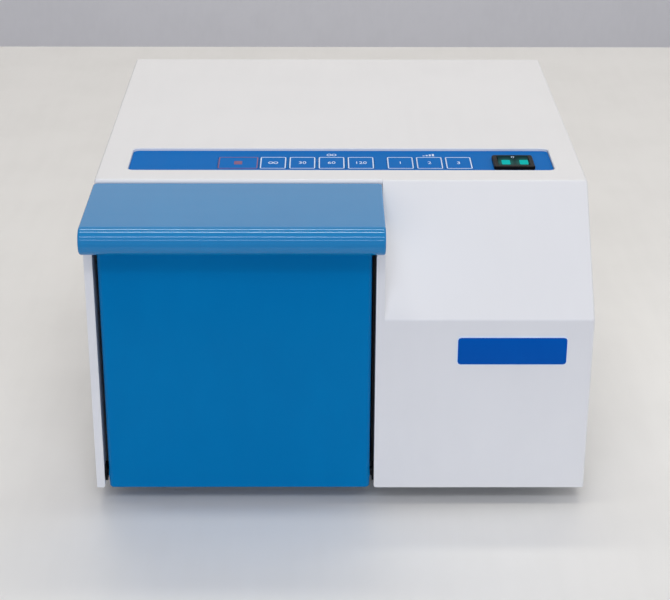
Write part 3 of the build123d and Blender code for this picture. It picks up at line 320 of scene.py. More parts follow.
# ---------------------------------------------------------------- finishes
class Shader(NodeTree):
    """One material's node tree, with short ways to feed its surface shader."""

    def __init__(self, name: str) -> None:
        """Starts a material with its Principled shader and object coordinates.

        Args:
            name: The material's name.
        """
        self.material = bpy.data.materials.new(name)
        self.material.use_nodes = True
        super().__init__(self.material.node_tree)
        self.surface = self.tree.nodes["Principled BSDF"]
        self.place = self.add("ShaderNodeTexCoord").outputs["Object"]

    def effect(self, effect: Effects, **values: float) -> bpy.types.bpy_prop_collection:
        """Places a shared effect.

        Args:
            effect: Which effect.
            **values: The values of its number inputs.

        Returns:
            The effect's outputs.
        """
        node = self.add("ShaderNodeGroup")
        node.node_tree = effect.value.tree
        self.join(self.place, node.inputs["Vector"])
        for title, value in values.items():
            node.inputs[title].default_value = value
        return node.outputs

    def set(self, **values: object) -> None:
        """Sets plain values on the surface shader's own sockets, with _ for a space."""
        for title, value in values.items():
            self.surface.inputs[title.replace("_", " ")].default_value = value

    def colour(
        self, mask: bpy.types.NodeSocket, low: Colour, high: Colour, socket: str = "Base Color"
    ) -> None:
        """Feeds a colour socket with two colours mixed by a mask.

        Args:
            mask: From 0 to 1.
            low: The colour where the mask is 0.
            high: The colour where the mask is 1.
            socket: The surface shader's socket.
        """
        self.join(self.mix(mask, low, high), self.surface.inputs[socket])

    def roughness(self, mask: bpy.types.NodeSocket, gloss: tuple[float, float]) -> None:
        """Feeds the roughness with a range driven by a mask."""
        self.join(self.ramp(mask, target=gloss, curve="LINEAR"), self.surface.inputs["Roughness"])

    def bump(self, height: bpy.types.NodeSocket, depth: float) -> None:
        """Feeds the normal with a relief.

        Args:
            height: The relief.
            depth: Its depth in metres.
        """
        node = self.add("ShaderNodeBump")
        node.inputs["Distance"].default_value = depth
        self.join(height, node.inputs["Height"])
        self.join(node.outputs["Normal"], self.surface.inputs["Normal"])

    def graze(self, reach: tuple[float, float], weight: float) -> None:
        """Adds a clear skin that shows only at low angles.

        Args:
            reach: Where the skin starts and where it is full, from 0 facing to 1 edge on.
            weight: The skin's weight where it is full.
        """
        facing = self.add("ShaderNodeLayerWeight").outputs["Facing"]
        self.join(self.ramp(facing, reach, (0.0, weight)), self.surface.inputs["Coat Weight"])


@dataclass(frozen=True)
class Paint:
    """Stoved paint on sheet metal: a glossy skin with orange peel and faint wiping marks."""

    name: str
    clean: Screen
    wiped: Screen
    gloss: tuple[float, float]
    dimples: float
    depth: float
    specular: float = 0.5
    skin: float = 0.0
    skin_reach: tuple[float, float] = (0.12, 0.5)
    skin_roughness: float = 0.1

    def material(self) -> bpy.types.Material:
        """Builds the paint's material.

        Returns:
            The material.
        """
        shader = Shader(self.name)
        marks = shader.effect(Effects.HANDLING)["Mask"]
        shader.colour(marks, linear(self.clean), linear(self.wiped))
        shader.roughness(marks, self.gloss)
        shader.bump(shader.effect(Effects.PEEL, Dimples=self.dimples)["Height"], self.depth)
        shader.set(Specular_IOR_Level=self.specular, Coat_Roughness=self.skin_roughness)
        if self.skin > 0.0:
            shader.graze(self.skin_reach, self.skin)
        return shader.material


@dataclass(frozen=True)
class Metal:
    """Bare metal with its grain, from brushed sheet to ground shafts."""

    name: str
    light: Screen
    dark: Screen
    gloss: tuple[float, float]
    lines: float
    depth: float

    def material(self) -> bpy.types.Material:
        """Builds the metal's material.

        Returns:
            The material.
        """
        shader = Shader(self.name)
        grain = shader.effect(Effects.BRUSHED, Lines=self.lines)
        shader.colour(grain["Mask"], linear(self.light), linear(self.dark))
        shader.roughness(grain["Mask"], self.gloss)
        shader.bump(grain["Height"], self.depth)
        shader.set(Metallic=1.0)
        return shader.material


@dataclass(frozen=True)
class Moulding:
    """Moulded plastic, rubber or a casting, with a fine pitted skin."""

    name: str
    light: Screen
    dark: Screen
    gloss: tuple[float, float]
    grains: float
    depth: float
    metallic: float = 0.0
    specular: float = 0.5

    def material(self) -> bpy.types.Material:
        """Builds the moulding's material.

        Returns:
            The material.
        """
        shader = Shader(self.name)
        skin = shader.effect(Effects.CAST, Grains=self.grains)
        shader.colour(skin["Mask"], linear(self.light), linear(self.dark))
        shader.roughness(skin["Mask"], self.gloss)
        shader.bump(skin["Height"], self.depth)
        shader.set(Metallic=self.metallic, Specular_IOR_Level=self.specular)
        return shader.material


@dataclass(frozen=True)
class Lens:
    """A tinted lens lit from behind."""

    name: str
    bright: Screen
    dim: Screen
    strength: float
    grains: float = 450.0
    gloss: tuple[float, float] = (0.2, 0.3)
    depth: float = 0.00002
    specular: float = 0.01

    def material(self) -> bpy.types.Material:
        """Builds the lit lens's material.

        Returns:
            The material.
        """
        shader = Shader(self.name)
        ribs = shader.effect(Effects.CAST, Grains=self.grains)
        for socket in ("Base Color", "Emission Color"):
            shader.colour(ribs["Mask"], linear(self.bright), linear(self.dim), socket)
        shader.roughness(ribs["Mask"], self.gloss)
        shader.bump(ribs["Height"], self.depth)
        shader.set(Emission_Strength=self.strength, Specular_IOR_Level=self.specular)
        return shader.material


@dataclass(frozen=True)
class LitPlastic:
    """Dark tinted plastic that glows round the two lamps inside it, with its places in metres."""

    name: str
    body: Screen
    glow: Screen
    centre: tuple[float, float]
    spacing: float
    reach: float
    shade: float = 0.8
    gloss: tuple[float, float] = (0.16, 0.26)
    grains: float = 900.0
    depth: float = 0.00001
    specular: float = 0.04

    def material(self) -> bpy.types.Material:
        """Builds the plastic's material.

        Returns:
            The material.
        """
        shader = Shader(self.name)
        skin = shader.effect(Effects.CAST, Grains=self.grains)
        across, along = self.centre
        pool = shader.effect(
            Effects.POOL, Across=across, Along=along, Spacing=self.spacing, Reach=self.reach
        )
        body = linear(self.body)
        shaded = tuple(self.shade * part for part in body[:3]) + (1.0,)
        unlit = (0.0, 0.0, 0.0, 1.0)
        shader.colour(skin["Mask"], body, shaded)
        shader.colour(pool["Mask"], unlit, linear(self.glow), "Emission Color")
        shader.roughness(skin["Mask"], self.gloss)
        shader.bump(skin["Height"], self.depth)
        shader.set(Emission_Strength=1.0, Specular_IOR_Level=self.specular)
        return shader.material


@dataclass(frozen=True)
class PrintedBoard:
    """A circuit board's lacquer over copper tracks."""

    name: str
    lacquer: Screen
    track: Screen
    pattern_scale: float = 90.0
    track_width: float = 0.03
    gloss: tuple[float, float] = (0.35, 0.25)
    depth: float = 0.00003

    def material(self) -> bpy.types.Material:
        """Builds the board's material.

        Returns:
            The material.
        """
        shader = Shader(self.name)
        pattern = shader.add("ShaderNodeTexBrick")
        pattern.inputs["Scale"].default_value = self.pattern_scale
        pattern.inputs["Mortar Size"].default_value = self.track_width
        shader.join(shader.place, pattern.inputs["Vector"])
        tracks = pattern.outputs["Fac"]
        shader.colour(tracks, linear(self.lacquer), linear(self.track))
        shader.roughness(tracks, self.gloss)
        shader.bump(tracks, self.depth)
        return shader.material


class Finish(Enum):
    """Every finish on the object, named for where it is used."""

    CASE = Paint("case_paint", (231, 231, 231), (229, 229, 229), (0.28, 0.36), 1500.0, 0.000005, 0.4)
    # Door blue is the lip's paint set darker: painted shade of the door front below the lip.
    DOOR_WITH_PAINTED_SHADE = Paint("door_paint_with_painted_shade", (0, 117, 178), (0, 120, 181), (0.16, 0.22), 420.0, 0.00003, 0.04, 0.34)
    LIP = Paint("lip_paint", (0, 127, 187), (0, 130, 190), (0.035, 0.055), 380.0, 0.000012, 0.5)
    FILM = Paint("overlay_film", (4, 108, 188), (6, 110, 190), (0.34, 0.42), 2600.0, 0.000006, 0.015)
    LABEL = Paint("label_film", (0, 84, 174), (0, 88, 178), (0.30, 0.38), 2600.0, 0.000004, 0.05)
    PRINT = Paint("pale_print", (222, 238, 255), (198, 216, 240), (0.40, 0.48), 2600.0, 0.000004)
    STOP_PRINT = Paint("red_print", (128, 72, 112), (120, 66, 106), (0.40, 0.48), 2600.0, 0.000004)
    ZINC = Metal("zinc_plate", (196, 198, 200), (164, 167, 170), (0.34, 0.50), 120.0, 0.000006)
    STAINLESS = Metal("stainless", (206, 206, 204), (172, 172, 170), (0.20, 0.34), 300.0, 0.000005)
    GROUND = Metal("ground_steel", (202, 202, 204), (176, 176, 178), (0.12, 0.22), 420.0, 0.000002)
    SCREW = Metal("screw_steel", (190, 190, 188), (150, 150, 148), (0.22, 0.36), 500.0, 0.000003)
    BRONZE = Metal("bronze", (196, 148, 92), (150, 108, 62), (0.24, 0.38), 420.0, 0.000003)
    # Chamber liner: stainless drawn dark grey, painted shade of the closed bay seen through the door's side
    # gaps.
    LINER_PAINTED_DARK = Metal("liner_steel_painted_dark", (82, 83, 85), (62, 63, 65), (0.46, 0.60), 300.0, 0.000005)
    BLACKENED = Metal("blackened_steel", (40, 41, 44), (28, 29, 32), (0.30, 0.42), 420.0, 0.000003)
    CASTING = Moulding("cast_alloy", (182, 184, 186), (152, 154, 156), (0.42, 0.58), 800.0, 0.00004, 1.0)
    RUBBER = Moulding("black_rubber", (34, 34, 35), (24, 24, 25), (0.62, 0.78), 1400.0, 0.00003)
    PLASTIC = Moulding("black_plastic", (20, 21, 23), (14, 15, 17), (0.30, 0.42), 2200.0, 0.00001, 0.0, 0.05)
    ROCKER = LitPlastic("rocker_plastic", (6, 44, 46), (0, 96, 88), (0.109, -0.0578), 0.0112, 0.0075)
    MOTOR = Moulding("motor_shell", (40, 42, 45), (28, 30, 33), (0.38, 0.52), 700.0, 0.00004)
    MAGNET = Moulding("magnet", (72, 72, 74), (54, 54, 56), (0.36, 0.50), 900.0, 0.00002, 0.6)
    GLOW = Lens("green_glow", (4, 136, 133), (2, 128, 125), 1.0)
    BOARD = PrintedBoard("circuit_board", (24, 92, 58), (40, 120, 76))
    BENCH = Paint("bench_top", (237, 236, 232), (234, 233, 229), (0.38, 0.48), 300.0, 0.00002)
    WALL = Paint("far_wall", (236, 237, 240), (233, 234, 237), (0.60, 0.70), 300.0, 0.00002)


class Workshop:
    """Keeps one material for each finish and puts it on objects."""

    def __init__(self) -> None:
        """Starts with no materials made."""
        self.made: dict[Finish, bpy.types.Material] = {}

    def material(self, finish: Finish) -> bpy.types.Material:
        """Gives the one material of a finish.

        Args:
            finish: The finish.

        Returns:
            Its material, made the first time.
        """
        if finish not in self.made:
            self.made[finish] = finish.value.material()
        return self.made[finish]

    def dress_node(self, name: str, finish: Finish) -> None:
        """Puts a finish on every material slot of a CAD node."""
        for slot in NODES[name].material_slots:
            slot.material = self.material(finish)


WORKSHOP = Workshop()


# ---------------------------------------------------------------- modelling
def corners_of(geometry: list) -> list[bmesh.types.BMVert]:
    """Picks the corners out of what an operator made."""
    return [part for part in geometry if isinstance(part, bmesh.types.BMVert)]


class Piece:
    """One new piece, drawn with bmesh operators in millimetres in the shared frame."""

    def __init__(self, name: str) -> None:
        """Starts an empty mesh under the piece's name.

        Args:
            name: Name of the piece.
        """
        self.name = name
        self.mesh = bmesh.new()
        self.finishes: list[Finish] = []

    def use(self, finish: Finish) -> int:
        """Gives the number of a finish among the piece's materials.

        Args:
            finish: The finish, added if the piece doesn't have it yet.

        Returns:
            Its number.
        """
        if finish not in self.finishes:
            self.finishes.append(finish)
        return self.finishes.index(finish)

    def paint(self, finish: Finish) -> None:
        """Puts a finish on every face drawn so far.

        Args:
            finish: The finish.
        """
        number = self.use(finish)
        for face in self.mesh.faces:
            face.material_index = number

    def bevel(self, geometry: list, offset: float, segments: int, affect: str) -> None:
        """Rounds or cuts corners or edges.

        Args:
            geometry: The corners or edges.
            offset: Size of the cut.
            segments: Segments of each round, 1 for a straight cut.
            affect: VERTICES or EDGES.
        """
        bmesh.ops.bevel(
            self.mesh,
            geom=geometry,
            offset=offset,
            offset_type="OFFSET",
            segments=segments,
            profile=0.5,
            affect=affect,
            material=-1,
        )

    def sheet(self, width: float, length: float, corner: float, segments: int = 4) -> bmesh.types.BMFace:
        """Draws a flat face with rounded or cut corners round the origin, facing up.

        Args:
            width: Size along X.
            length: Size along Y.
            corner: Corner size.
            segments: Segments of each corner, 1 for a cut corner.

        Returns:
            The face.
        """
        made = bmesh.ops.create_grid(self.mesh, x_segments=1, y_segments=1, size=0.5)
        corners = made["verts"]
        bmesh.ops.scale(self.mesh, vec=(width, length, 1.0), verts=corners)
        face = corners[0].link_faces[0]
        if corner > 0.0:
            self.bevel(corners, corner, segments, "VERTICES")
            face = max(self.mesh.faces, key=lambda one: one.calc_area())
        if face.normal.z < 0.0:
            face.normal_flip()
        return face

    def lift(self, faces: list[bmesh.types.BMFace], height: float) -> list[bmesh.types.BMVert]:
        """Pulls flat faces up into a solid and keeps a floor under it.

        Args:
            faces: The faces to raise.
            height: How far they go up.

        Returns:
            The raised corners.
        """
        made = bmesh.ops.extrude_face_region(self.mesh, geom=faces, use_keep_orig=True)
        raised = corners_of(made["geom"])
        bmesh.ops.translate(self.mesh, vec=(0.0, 0.0, height), verts=raised)
        return raised

    def band(self, face: bmesh.types.BMFace, width: float, height: float, even: bool) -> None:
        """Turns a flat face into a raised band along its border.

        Args:
            face: The face, which goes.
            width: Width of the band.
            height: Height of the band.
            even: Whether the width is that of the band's sides, and not that at its corners.
        """
        ring = bmesh.ops.inset_region(
            self.mesh, faces=[face], thickness=width, use_boundary=True, use_even_offset=even
        )
        bmesh.ops.delete(self.mesh, geom=[face], context="FACES_ONLY")
        self.lift(ring["faces"], height)

    def move(self, place: Matrix) -> None:
        """Moves the piece by a matrix in millimetres."""
        bmesh.ops.transform(self.mesh, matrix=place, verts=list(self.mesh.verts))

    def take(self, other: "Piece") -> None:
        """Takes in what is drawn on another piece, and ends that piece.

        Args:
            other: The other piece.
        """
        carrier = bpy.data.meshes.new(other.name)
        other.mesh.to_mesh(carrier)
        other.mesh.free()
        self.mesh.from_mesh(carrier)
        bpy.data.meshes.remove(carrier)

    def finish(self, body: str, slot: str, smooth: float = 30.0) -> bpy.types.Object:
        """Turns the drawing into an object that rides on a body.

        Args:
            body: CAD body that carries the piece.
            slot: Material slot of the record; not used.
            smooth: Angle in degrees under which neighbouring faces shade smoothly.

        Returns:
            The finished object, at the origin.
        """
        bmesh.ops.remove_doubles(self.mesh, verts=list(self.mesh.verts), dist=MERGE_DISTANCE)
        bmesh.ops.recalc_face_normals(self.mesh, faces=list(self.mesh.faces))
        bmesh.ops.scale(self.mesh, vec=(MM, MM, MM), verts=list(self.mesh.verts))
        for face in self.mesh.faces:
            face.smooth = True
        for edge in self.mesh.edges:
            if len(edge.link_faces) != 2 or edge.calc_face_angle(0.0) > math.radians(smooth):
                edge.smooth = False
        data = bpy.data.meshes.new(self.name)
        self.mesh.to_mesh(data)
        self.mesh.free()
        for finish in self.finishes:
            data.materials.append(WORKSHOP.material(finish))
        made = bpy.data.objects.new(self.name, data)
        bpy.context.scene.collection.objects.link(made)
        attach(made, body)
        LOG.info("piece %s on %s: %d faces", self.name, body, len(data.polygons))
        return made


class Lettering:
    """Plain numbers and marks, as thin raised print."""

    def __init__(self, words: str, height: float, thickness: float, stretch: float = 1.0) -> None:
        """Makes the letters' mesh lying flat round the origin.

        Args:
            words: The characters.
            height: Size of the characters in millimetres.
            thickness: Thickness of the print in millimetres.
            stretch: How many times wider than usual the characters are.
        """
        curve = bpy.data.curves.new("lettering", "FONT")
        curve.body = words
        curve.size = height
        curve.align_x = "CENTER"
        curve.align_y = "CENTER"
        curve.extrude = thickness / 2.0
        curve.resolution_u = 3
        carrier = bpy.data.objects.new("lettering", curve)
        bpy.context.scene.collection.objects.link(carrier)
        bpy.context.view_layer.update()
        graph = bpy.context.evaluated_depsgraph_get()
        self.mesh = bpy.data.meshes.new_from_object(carrier.evaluated_get(graph))
        self.mesh.transform(Matrix.Diagonal((stretch, 1.0, 1.0, 1.0)))
        self.mesh.transform(Matrix.Translation((0.0, 0.0, thickness / 2.0)))
        bpy.data.objects.remove(carrier)
        bpy.data.curves.remove(curve)

    def add_to(self, piece: Piece, place: Matrix, finish: Finish) -> None:
        """Adds the letters to a piece.

        Args:
            piece: The piece.
            place: Where they go.
            finish: Their finish.
        """
        self.mesh.transform(place)
        before = set(piece.mesh.faces)
        piece.mesh.from_mesh(self.mesh)
        for face in piece.mesh.faces:
            if face not in before:
                face.material_index = piece.use(finish)
        bpy.data.meshes.remove(self.mesh)


# ---------------------------------------------------------------- sub-assemblies
@dataclass
class CaseDressing:
    """Finishes of the case, the base, the rear and everything bolted inside them."""

    finishes: dict[Finish, tuple[str, ...]] = field(
        default_factory=lambda: {
            Finish.CASE: ("case_cover", "rear_panel"),
            # The door panel's darker blue is painted shade.
            Finish.DOOR_WITH_PAINTED_SHADE: ("door_panel",),
            Finish.LIP: ("door_lip",),
            Finish.FILM: ("keypad_overlay",),
            Finish.ZINC: ("base_pan", "motor_bracket", "catch_plates"),
            # The liner's dark grey is painted shade of the closed bay.
            Finish.LINER_PAINTED_DARK: ("chamber_liner",),
            Finish.BLACKENED: ("hinge_pins",),
            Finish.STAINLESS: ("pressure_plate", "left_paddle", "right_paddle"),
            Finish.RUBBER: ("bag_clamp_strip", "shaft_seals", "drive_belt"),
            Finish.CASTING: ("drive_frame", "crank_pulley", "left_connecting_rod", "right_connecting_rod"),
            Finish.BRONZE: ("shaft_bushes", "crank_bearings"),
            Finish.MOTOR: ("motor", "transformer"),
            Finish.MAGNET: ("catch_magnets",),
            Finish.BOARD: ("control_board", "keypad_board"),
            Finish.PLASTIC: (
                "keypad_ribbon", "hinge_bushes", "power_inlet", "fuse_drawer", "switch_housing",
            ),
            Finish.ROCKER: ("rocker",),
            Finish.SCREW: ("base_screws", "door_screws", "foot_screws", "frame_bolts", "rear_screws"),
            Finish.GROUND: (
                "crankshaft", "eccentrics", "left_crosshead", "right_crosshead", "left_guide_rod",
                "right_guide_rod", "left_paddle_shaft", "right_paddle_shaft", "motor_pulley", "motor_shaft",
            ),
        }
    )

    def build(self) -> None:
        """Dresses every CAD node that keeps its shape."""
        for finish, names in self.finishes.items():
            for name in names:
                WORKSHOP.dress_node(name, finish)
        for name in NODES:
            if name.startswith("foot_") and name != "foot_screws":
                WORKSHOP.dress_node(name, Finish.RUBBER)
            if name.endswith("_key") or "_key_" in name:
                WORKSHOP.dress_node(name, Finish.FILM)


@dataclass
class KeypadPrint:
    """Printed frames, numbers and signs on the key fields and over their two groups."""

    thickness: float = 0.05
    frame_line: float = 0.7
    frame_margin: float = 0.35
    frame_corner: float = 1.2
    digit_height: float = 6.4
    digit_stretch: float = 0.8
    square: tuple[float, float] = (5.0, 6.0)
    square_corner: float = 0.4
    ring_radius: float = 1.55
    ring_line: float = 0.55
    ring_offset: float = 1.57
    ring_stretch: float = 1.3
    ring_segments: int = 24
    heading_y: float = -40.1
    time_heading_x: float = -5.5
    speed_heading_x: float = 55.8
    bars: int = 4
    bar_width: float = 1.3
    bar_pitch: float = 2.0
    bar_height: float = 1.2
    bar_rise: float = 1.0
    bar_foot: float = -2.2
    numbers: dict[str, str] = field(
        default_factory=lambda: {
            "time_key_2": "30",
            "time_key_3": "60",
            "time_key_4": "120",
            "speed_key_1": "1",
            "speed_key_2": "2",
            "speed_key_3": "3",
        }
    )

    def frame(self, piece: Piece, size: Vector, centre: Vector) -> None:
        """Adds the printed frame round one key field.

        Args:
            piece: The piece that takes the frame.
            size: The key's size.
            centre: Middle of the key's top.
        """
        width = size.x - 2 * self.frame_margin
        length = size.y - 2 * self.frame_margin
        outline = piece.sheet(width, length, self.frame_corner)
        piece.band(outline, self.frame_line, self.thickness, even=True)
        piece.move(Matrix.Translation(centre))

    def stop_sign(self, piece: Piece, centre: Vector) -> None:
        """Adds a square, the sign for stopping.

        Args:
            piece: The piece that takes the sign.
            centre: The sign's middle.
        """
        square = Piece("square")
        square.lift([square.sheet(*self.square, self.square_corner)], self.thickness)
        square.move(Matrix.Translation(centre))
        piece.take(square)

    def endless_sign(self, piece: Piece, centre: Vector) -> None:
        """Adds two rings side by side, the sign for running without a set time.

        Args:
            piece: The piece that takes the sign.
            centre: The sign's middle.
        """
        for side in (-1.0, 1.0):
            ring = Piece("ring")
            circle = bmesh.ops.create_circle(
                ring.mesh, cap_ends=True, segments=self.ring_segments, radius=self.ring_radius
            )
            ring.band(circle["verts"][0].link_faces[0], self.ring_line, self.thickness, even=False)
            place = Matrix.Translation(centre + Vector((side * self.ring_offset, 0.0, 0.0)))
            ring.move(place @ Matrix.Diagonal((1.0, self.ring_stretch, 1.0, 1.0)))
            piece.take(ring)

    def rising_bars(self, piece: Piece, centre: Vector) -> None:
        """Adds a row of bars, each taller than the last, the sign for speed.

        Args:
            piece: The piece that takes the sign.
            centre: The sign's middle.
        """
        for count in range(self.bars):
            bar = Piece("bar")
            height = self.bar_height + self.bar_rise * count
            bar.lift([bar.sheet(self.bar_width, height, 0.0)], self.thickness)
            across = (count - (self.bars - 1) / 2.0) * self.bar_pitch
            bar.move(Matrix.Translation(centre + Vector((across, self.bar_foot + height / 2.0, 0.0))))
            piece.take(bar)

    def key(self, name: str) -> None:
        """Builds the print of one key.

        Args:
            name: The key's node, which is also its body.
        """
        low, high = (Vector(corner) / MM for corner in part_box(name))
        centre = Vector(((low.x + high.x) / 2, (low.y + high.y) / 2, high.z))
        piece = Piece(f"{name}_print")
        finish = Finish.STOP_PRINT if name == "stop_key" else Finish.PRINT
        self.frame(piece, high - low, centre)
        piece.paint(finish)
        if name in self.numbers:
            letters = Lettering(self.numbers[name], self.digit_height, self.thickness, self.digit_stretch)
            letters.add_to(piece, Matrix.Translation(centre), finish)
        elif name == "stop_key":
            self.stop_sign(piece, centre)
        else:
            self.endless_sign(piece, centre)
        piece.finish(name, "keypad_film")

    def headings(self) -> None:
        """Builds the signs over the two groups of keys: the endless sign and rising bars."""
        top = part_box("keypad_overlay")[1][2] / MM
        piece = Piece("keypad_headings")
        self.rising_bars(piece, Vector((self.speed_heading_x, self.heading_y, top)))
        self.endless_sign(piece, Vector((self.time_heading_x, self.heading_y, top)))
        piece.paint(Finish.PRINT)
        piece.finish("case", "keypad_film")

    def build(self) -> None:
        """Builds the print of every key and the headings."""
        for name in sorted(NODES):
            if name == "stop_key" or "_key_" in name:
                self.key(name)
        self.headings()


@dataclass
class FrontLabel:
    """The bare blue plate on the upright front face, with a thin pale border and rounded corners."""

    centre: tuple[float, float, float] = (101.7, -152.0, 105.55)
    width: float = 65.8
    height: float = 18.4
    corner: float = 2.2
    thickness: float = 0.7
    border: float = 0.45
    border_depth: float = 0.08

    def build(self) -> None:
        """Builds the plate."""
        piece = Piece("front_label")
        blue = piece.use(Finish.LABEL)
        piece.lift([piece.sheet(self.width, self.height, self.corner, segments=2)], self.thickness)
        piece.paint(Finish.PRINT)
        top = max(piece.mesh.faces, key=lambda one: one.calc_center_median().z)
        bmesh.ops.inset_region(
            piece.mesh, faces=[top], thickness=self.border, depth=self.border_depth, use_boundary=True
        )
        top.material_index = blue
        turn = Matrix.Rotation(math.radians(90.0), 4, "X")
        piece.move(Matrix.Translation(self.centre) @ turn)
        piece.finish("case", "keypad_film", smooth=20.0)


@dataclass
class SwitchLight:
    """Two lit windows and the off mark on the rocker's hollow top."""

    pivot: tuple[float, float, float] = (108.1, -56.7, 188.8)
    tilt: float = 7.0
    dip: float = 2.1
    hollow: float = 55.9
    window_width: float = 5.3
    window_length: float = 6.3
    window_corner: float = 0.7
    window_spacing: float = 11.2
    window_shift: tuple[float, float] = (0.9, -1.1)
    window_rise: float = 0.16
    mark_along: float = 5.6
    mark_height: float = 2.6
    mark_thickness: float = 0.08

    def place(self, across: float, along: float) -> Matrix:
        """Gives the matrix that lays a flat drawing on the rocker's hollow top.

        Args:
            across: Place along the rocker's axis.
            along: Place in front of the axis if negative, behind it if positive.

        Returns:
            The matrix in millimetres.
        """
        turn = along / self.hollow
        level = self.dip + self.hollow * (1.0 - math.cos(turn))
        spot = Matrix.Translation((across, self.hollow * math.sin(turn), level))
        tilt = Matrix.Rotation(math.radians(self.tilt), 4, "X")
        return Matrix.Translation(self.pivot) @ tilt @ spot @ Matrix.Rotation(turn, 4, "X")

    def build(self) -> None:
        """Builds the windows and the mark."""
        across, along = self.window_shift
        for number, side in enumerate((-0.5, 0.5), start=1):
            piece = Piece(f"switch_window_{number}")
            window = piece.sheet(self.window_width, self.window_length, self.window_corner)
            piece.lift([window], 2 * self.window_rise)
            piece.paint(Finish.GLOW)
            piece.move(Matrix.Translation((0.0, 0.0, -self.window_rise)))
            piece.move(self.place(across + side * self.window_spacing, along))
            piece.finish("switch_rocker", "green_lens")
        mark = Piece("switch_mark")
        letters = Lettering("O", self.mark_height, self.mark_thickness)
        letters.add_to(mark, self.place(0.0, self.mark_along), Finish.PRINT)
        mark.finish("switch_rocker", "keypad_film")


@dataclass
class CrossScrews:
    """Pan-head screws with a cross recess, a set in place of each CAD node of plain screws."""

    sets: tuple[tuple[str, str, Vector], ...] = (
        ("rear_screws", "case", Vector((0.0, 1.0, 0.0))),
        ("base_screws", "case", Vector((0.0, 0.0, -1.0))),
        ("foot_screws", "case", Vector((0.0, 0.0, -1.0))),
        ("door_screws", "door", Vector((0.0, 0.0, -1.0))),
    )
    head_height: float = 1.8
    crown: tuple[tuple[float, float], ...] = (
        (1.6, 1.8), (2.3, 1.62), (2.75, 1.25), (2.95, 0.8), (3.0, 0.35), (2.9, 0.0),
    )
    shank_radius: float = 1.43
    shank_chamfer: float = 0.5
    slot_width: float = 0.62
    slot_reach: float = 1.35
    slot_depth: float = 1.0
    slot_taper: float = 0.7
    sides: int = 24
    group_reach: float = 7.5
    turn_of_set: float = 0.4
    turn_of_screw: float = 0.7

    def places(self, node: str, facing: Vector) -> list[tuple[Vector, float]]:
        """Finds where each screw of a CAD node seats and how long its shank is.

        Args:
            node: The CAD node.
            facing: The way that the heads face.

        Returns:
            The seat's centre and the shank's length for each screw, in millimetres.
        """
        groups: list[list[Vector]] = []
        for vert in NODES[node].data.vertices:
            point = vert.co / MM
            for group in groups:
                gap = point - group[0]
                if (gap - facing * gap.dot(facing)).length < self.group_reach:
                    group.append(point)
                    break
            else:
                groups.append([point])
        found = []
        for group in groups:
            low = Vector([min(point[axis] for point in group) for axis in range(3)])
            high = Vector([max(point[axis] for point in group) for axis in range(3)])
            across = (low + high) / 2.0
            reach = max(point.dot(facing) for point in group)
            length = (high - low).dot(Vector([abs(part) for part in facing])) - self.head_height
            seat = across - facing * across.dot(facing) + facing * (reach - self.head_height)
            found.append((seat, length))
        return found

    def ring(
        self, piece: Piece, edges: list[bmesh.types.BMEdge], radius: float, level: float
    ) -> list[bmesh.types.BMEdge]:
        """Runs a ring of edges out or in to a new radius and height, with faces between.

        Args:
            piece: The piece that takes the faces.
            edges: The ring's edges.
            radius: The new ring's radius.
            level: The new ring's height.

        Returns:
            The new ring's edges.
        """
        made = bmesh.ops.extrude_edge_only(piece.mesh, edges=edges)["geom"]
        for vert in corners_of(made):
            share = radius / vert.co.xy.length
            vert.co = (vert.co.x * share, vert.co.y * share, level)
        return [part for part in made if isinstance(part, bmesh.types.BMEdge)]

    def screw(self, piece: Piece, place: Matrix, length: float) -> None:
        """Draws one screw, seated at the origin and facing up, and puts it in its place.

        Args:
            piece: The piece that takes the screw.
            place: The screw's place.
            length: The shank's length.
        """
        one = Piece("screw")
        cross = [one.sheet(self.slot_width, self.slot_width, 0.0)]
        for edge in list(cross[0].edges):
            middle = (edge.verts[0].co + edge.verts[1].co) / 2.0
            arm = bmesh.ops.extrude_edge_only(one.mesh, edges=[edge])["geom"]
            bmesh.ops.translate(one.mesh, vec=middle.normalized() * self.slot_reach, verts=corners_of(arm))
            cross += [part for part in arm if isinstance(part, bmesh.types.BMFace)]
        for vert in one.mesh.verts:
            vert.co.z = self.head_height
        border = [edge for edge in one.mesh.edges if edge.is_boundary]
        circle = bmesh.ops.create_circle(one.mesh, segments=self.sides, radius=self.crown[0][0])["verts"]
        bmesh.ops.translate(one.mesh, vec=(0.0, 0.0, self.head_height), verts=circle)
        rim = list({edge for vert in circle for edge in vert.link_edges})
        bmesh.ops.bridge_loops(one.mesh, edges=border + rim)
        sunk = bmesh.ops.extrude_face_region(one.mesh, geom=cross)["geom"]
        bmesh.ops.delete(one.mesh, geom=[face for face in cross if face.is_valid], context="FACES_ONLY")
        floor = corners_of(sunk)
        bmesh.ops.scale(one.mesh, vec=(self.slot_taper, self.slot_taper, 1.0), verts=floor)
        bmesh.ops.translate(one.mesh, vec=(0.0, 0.0, -self.slot_depth), verts=floor)
        for radius, level in self.crown[1:]:
            rim = self.ring(one, rim, radius, level)
        rim = self.ring(one, rim, self.shank_radius, 0.0)
        rim = self.ring(one, rim, self.shank_radius, self.shank_chamfer - length)
        rim = self.ring(one, rim, self.shank_radius - self.shank_chamfer, -length)
        bmesh.ops.edgeloop_fill(one.mesh, edges=rim)
        one.move(place)
        piece.take(one)

    def build(self) -> None:
        """Builds the sets and hides the plain screws behind them."""
        for count, (node, body, facing) in enumerate(self.sets):
            piece = Piece(f"{node}_cross_heads")
            piece.use(Finish.SCREW)
            up = facing.to_track_quat("Z", "Y").to_matrix().to_4x4()
            for number, (seat, length) in enumerate(self.places(node, facing)):
                turn = Matrix.Rotation(self.turn_of_screw * number + self.turn_of_set * count, 4, "Z")
                self.screw(piece, Matrix.Translation(seat) @ up @ turn, length)
            made = piece.finish(body, "screw_steel")
            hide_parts(node)


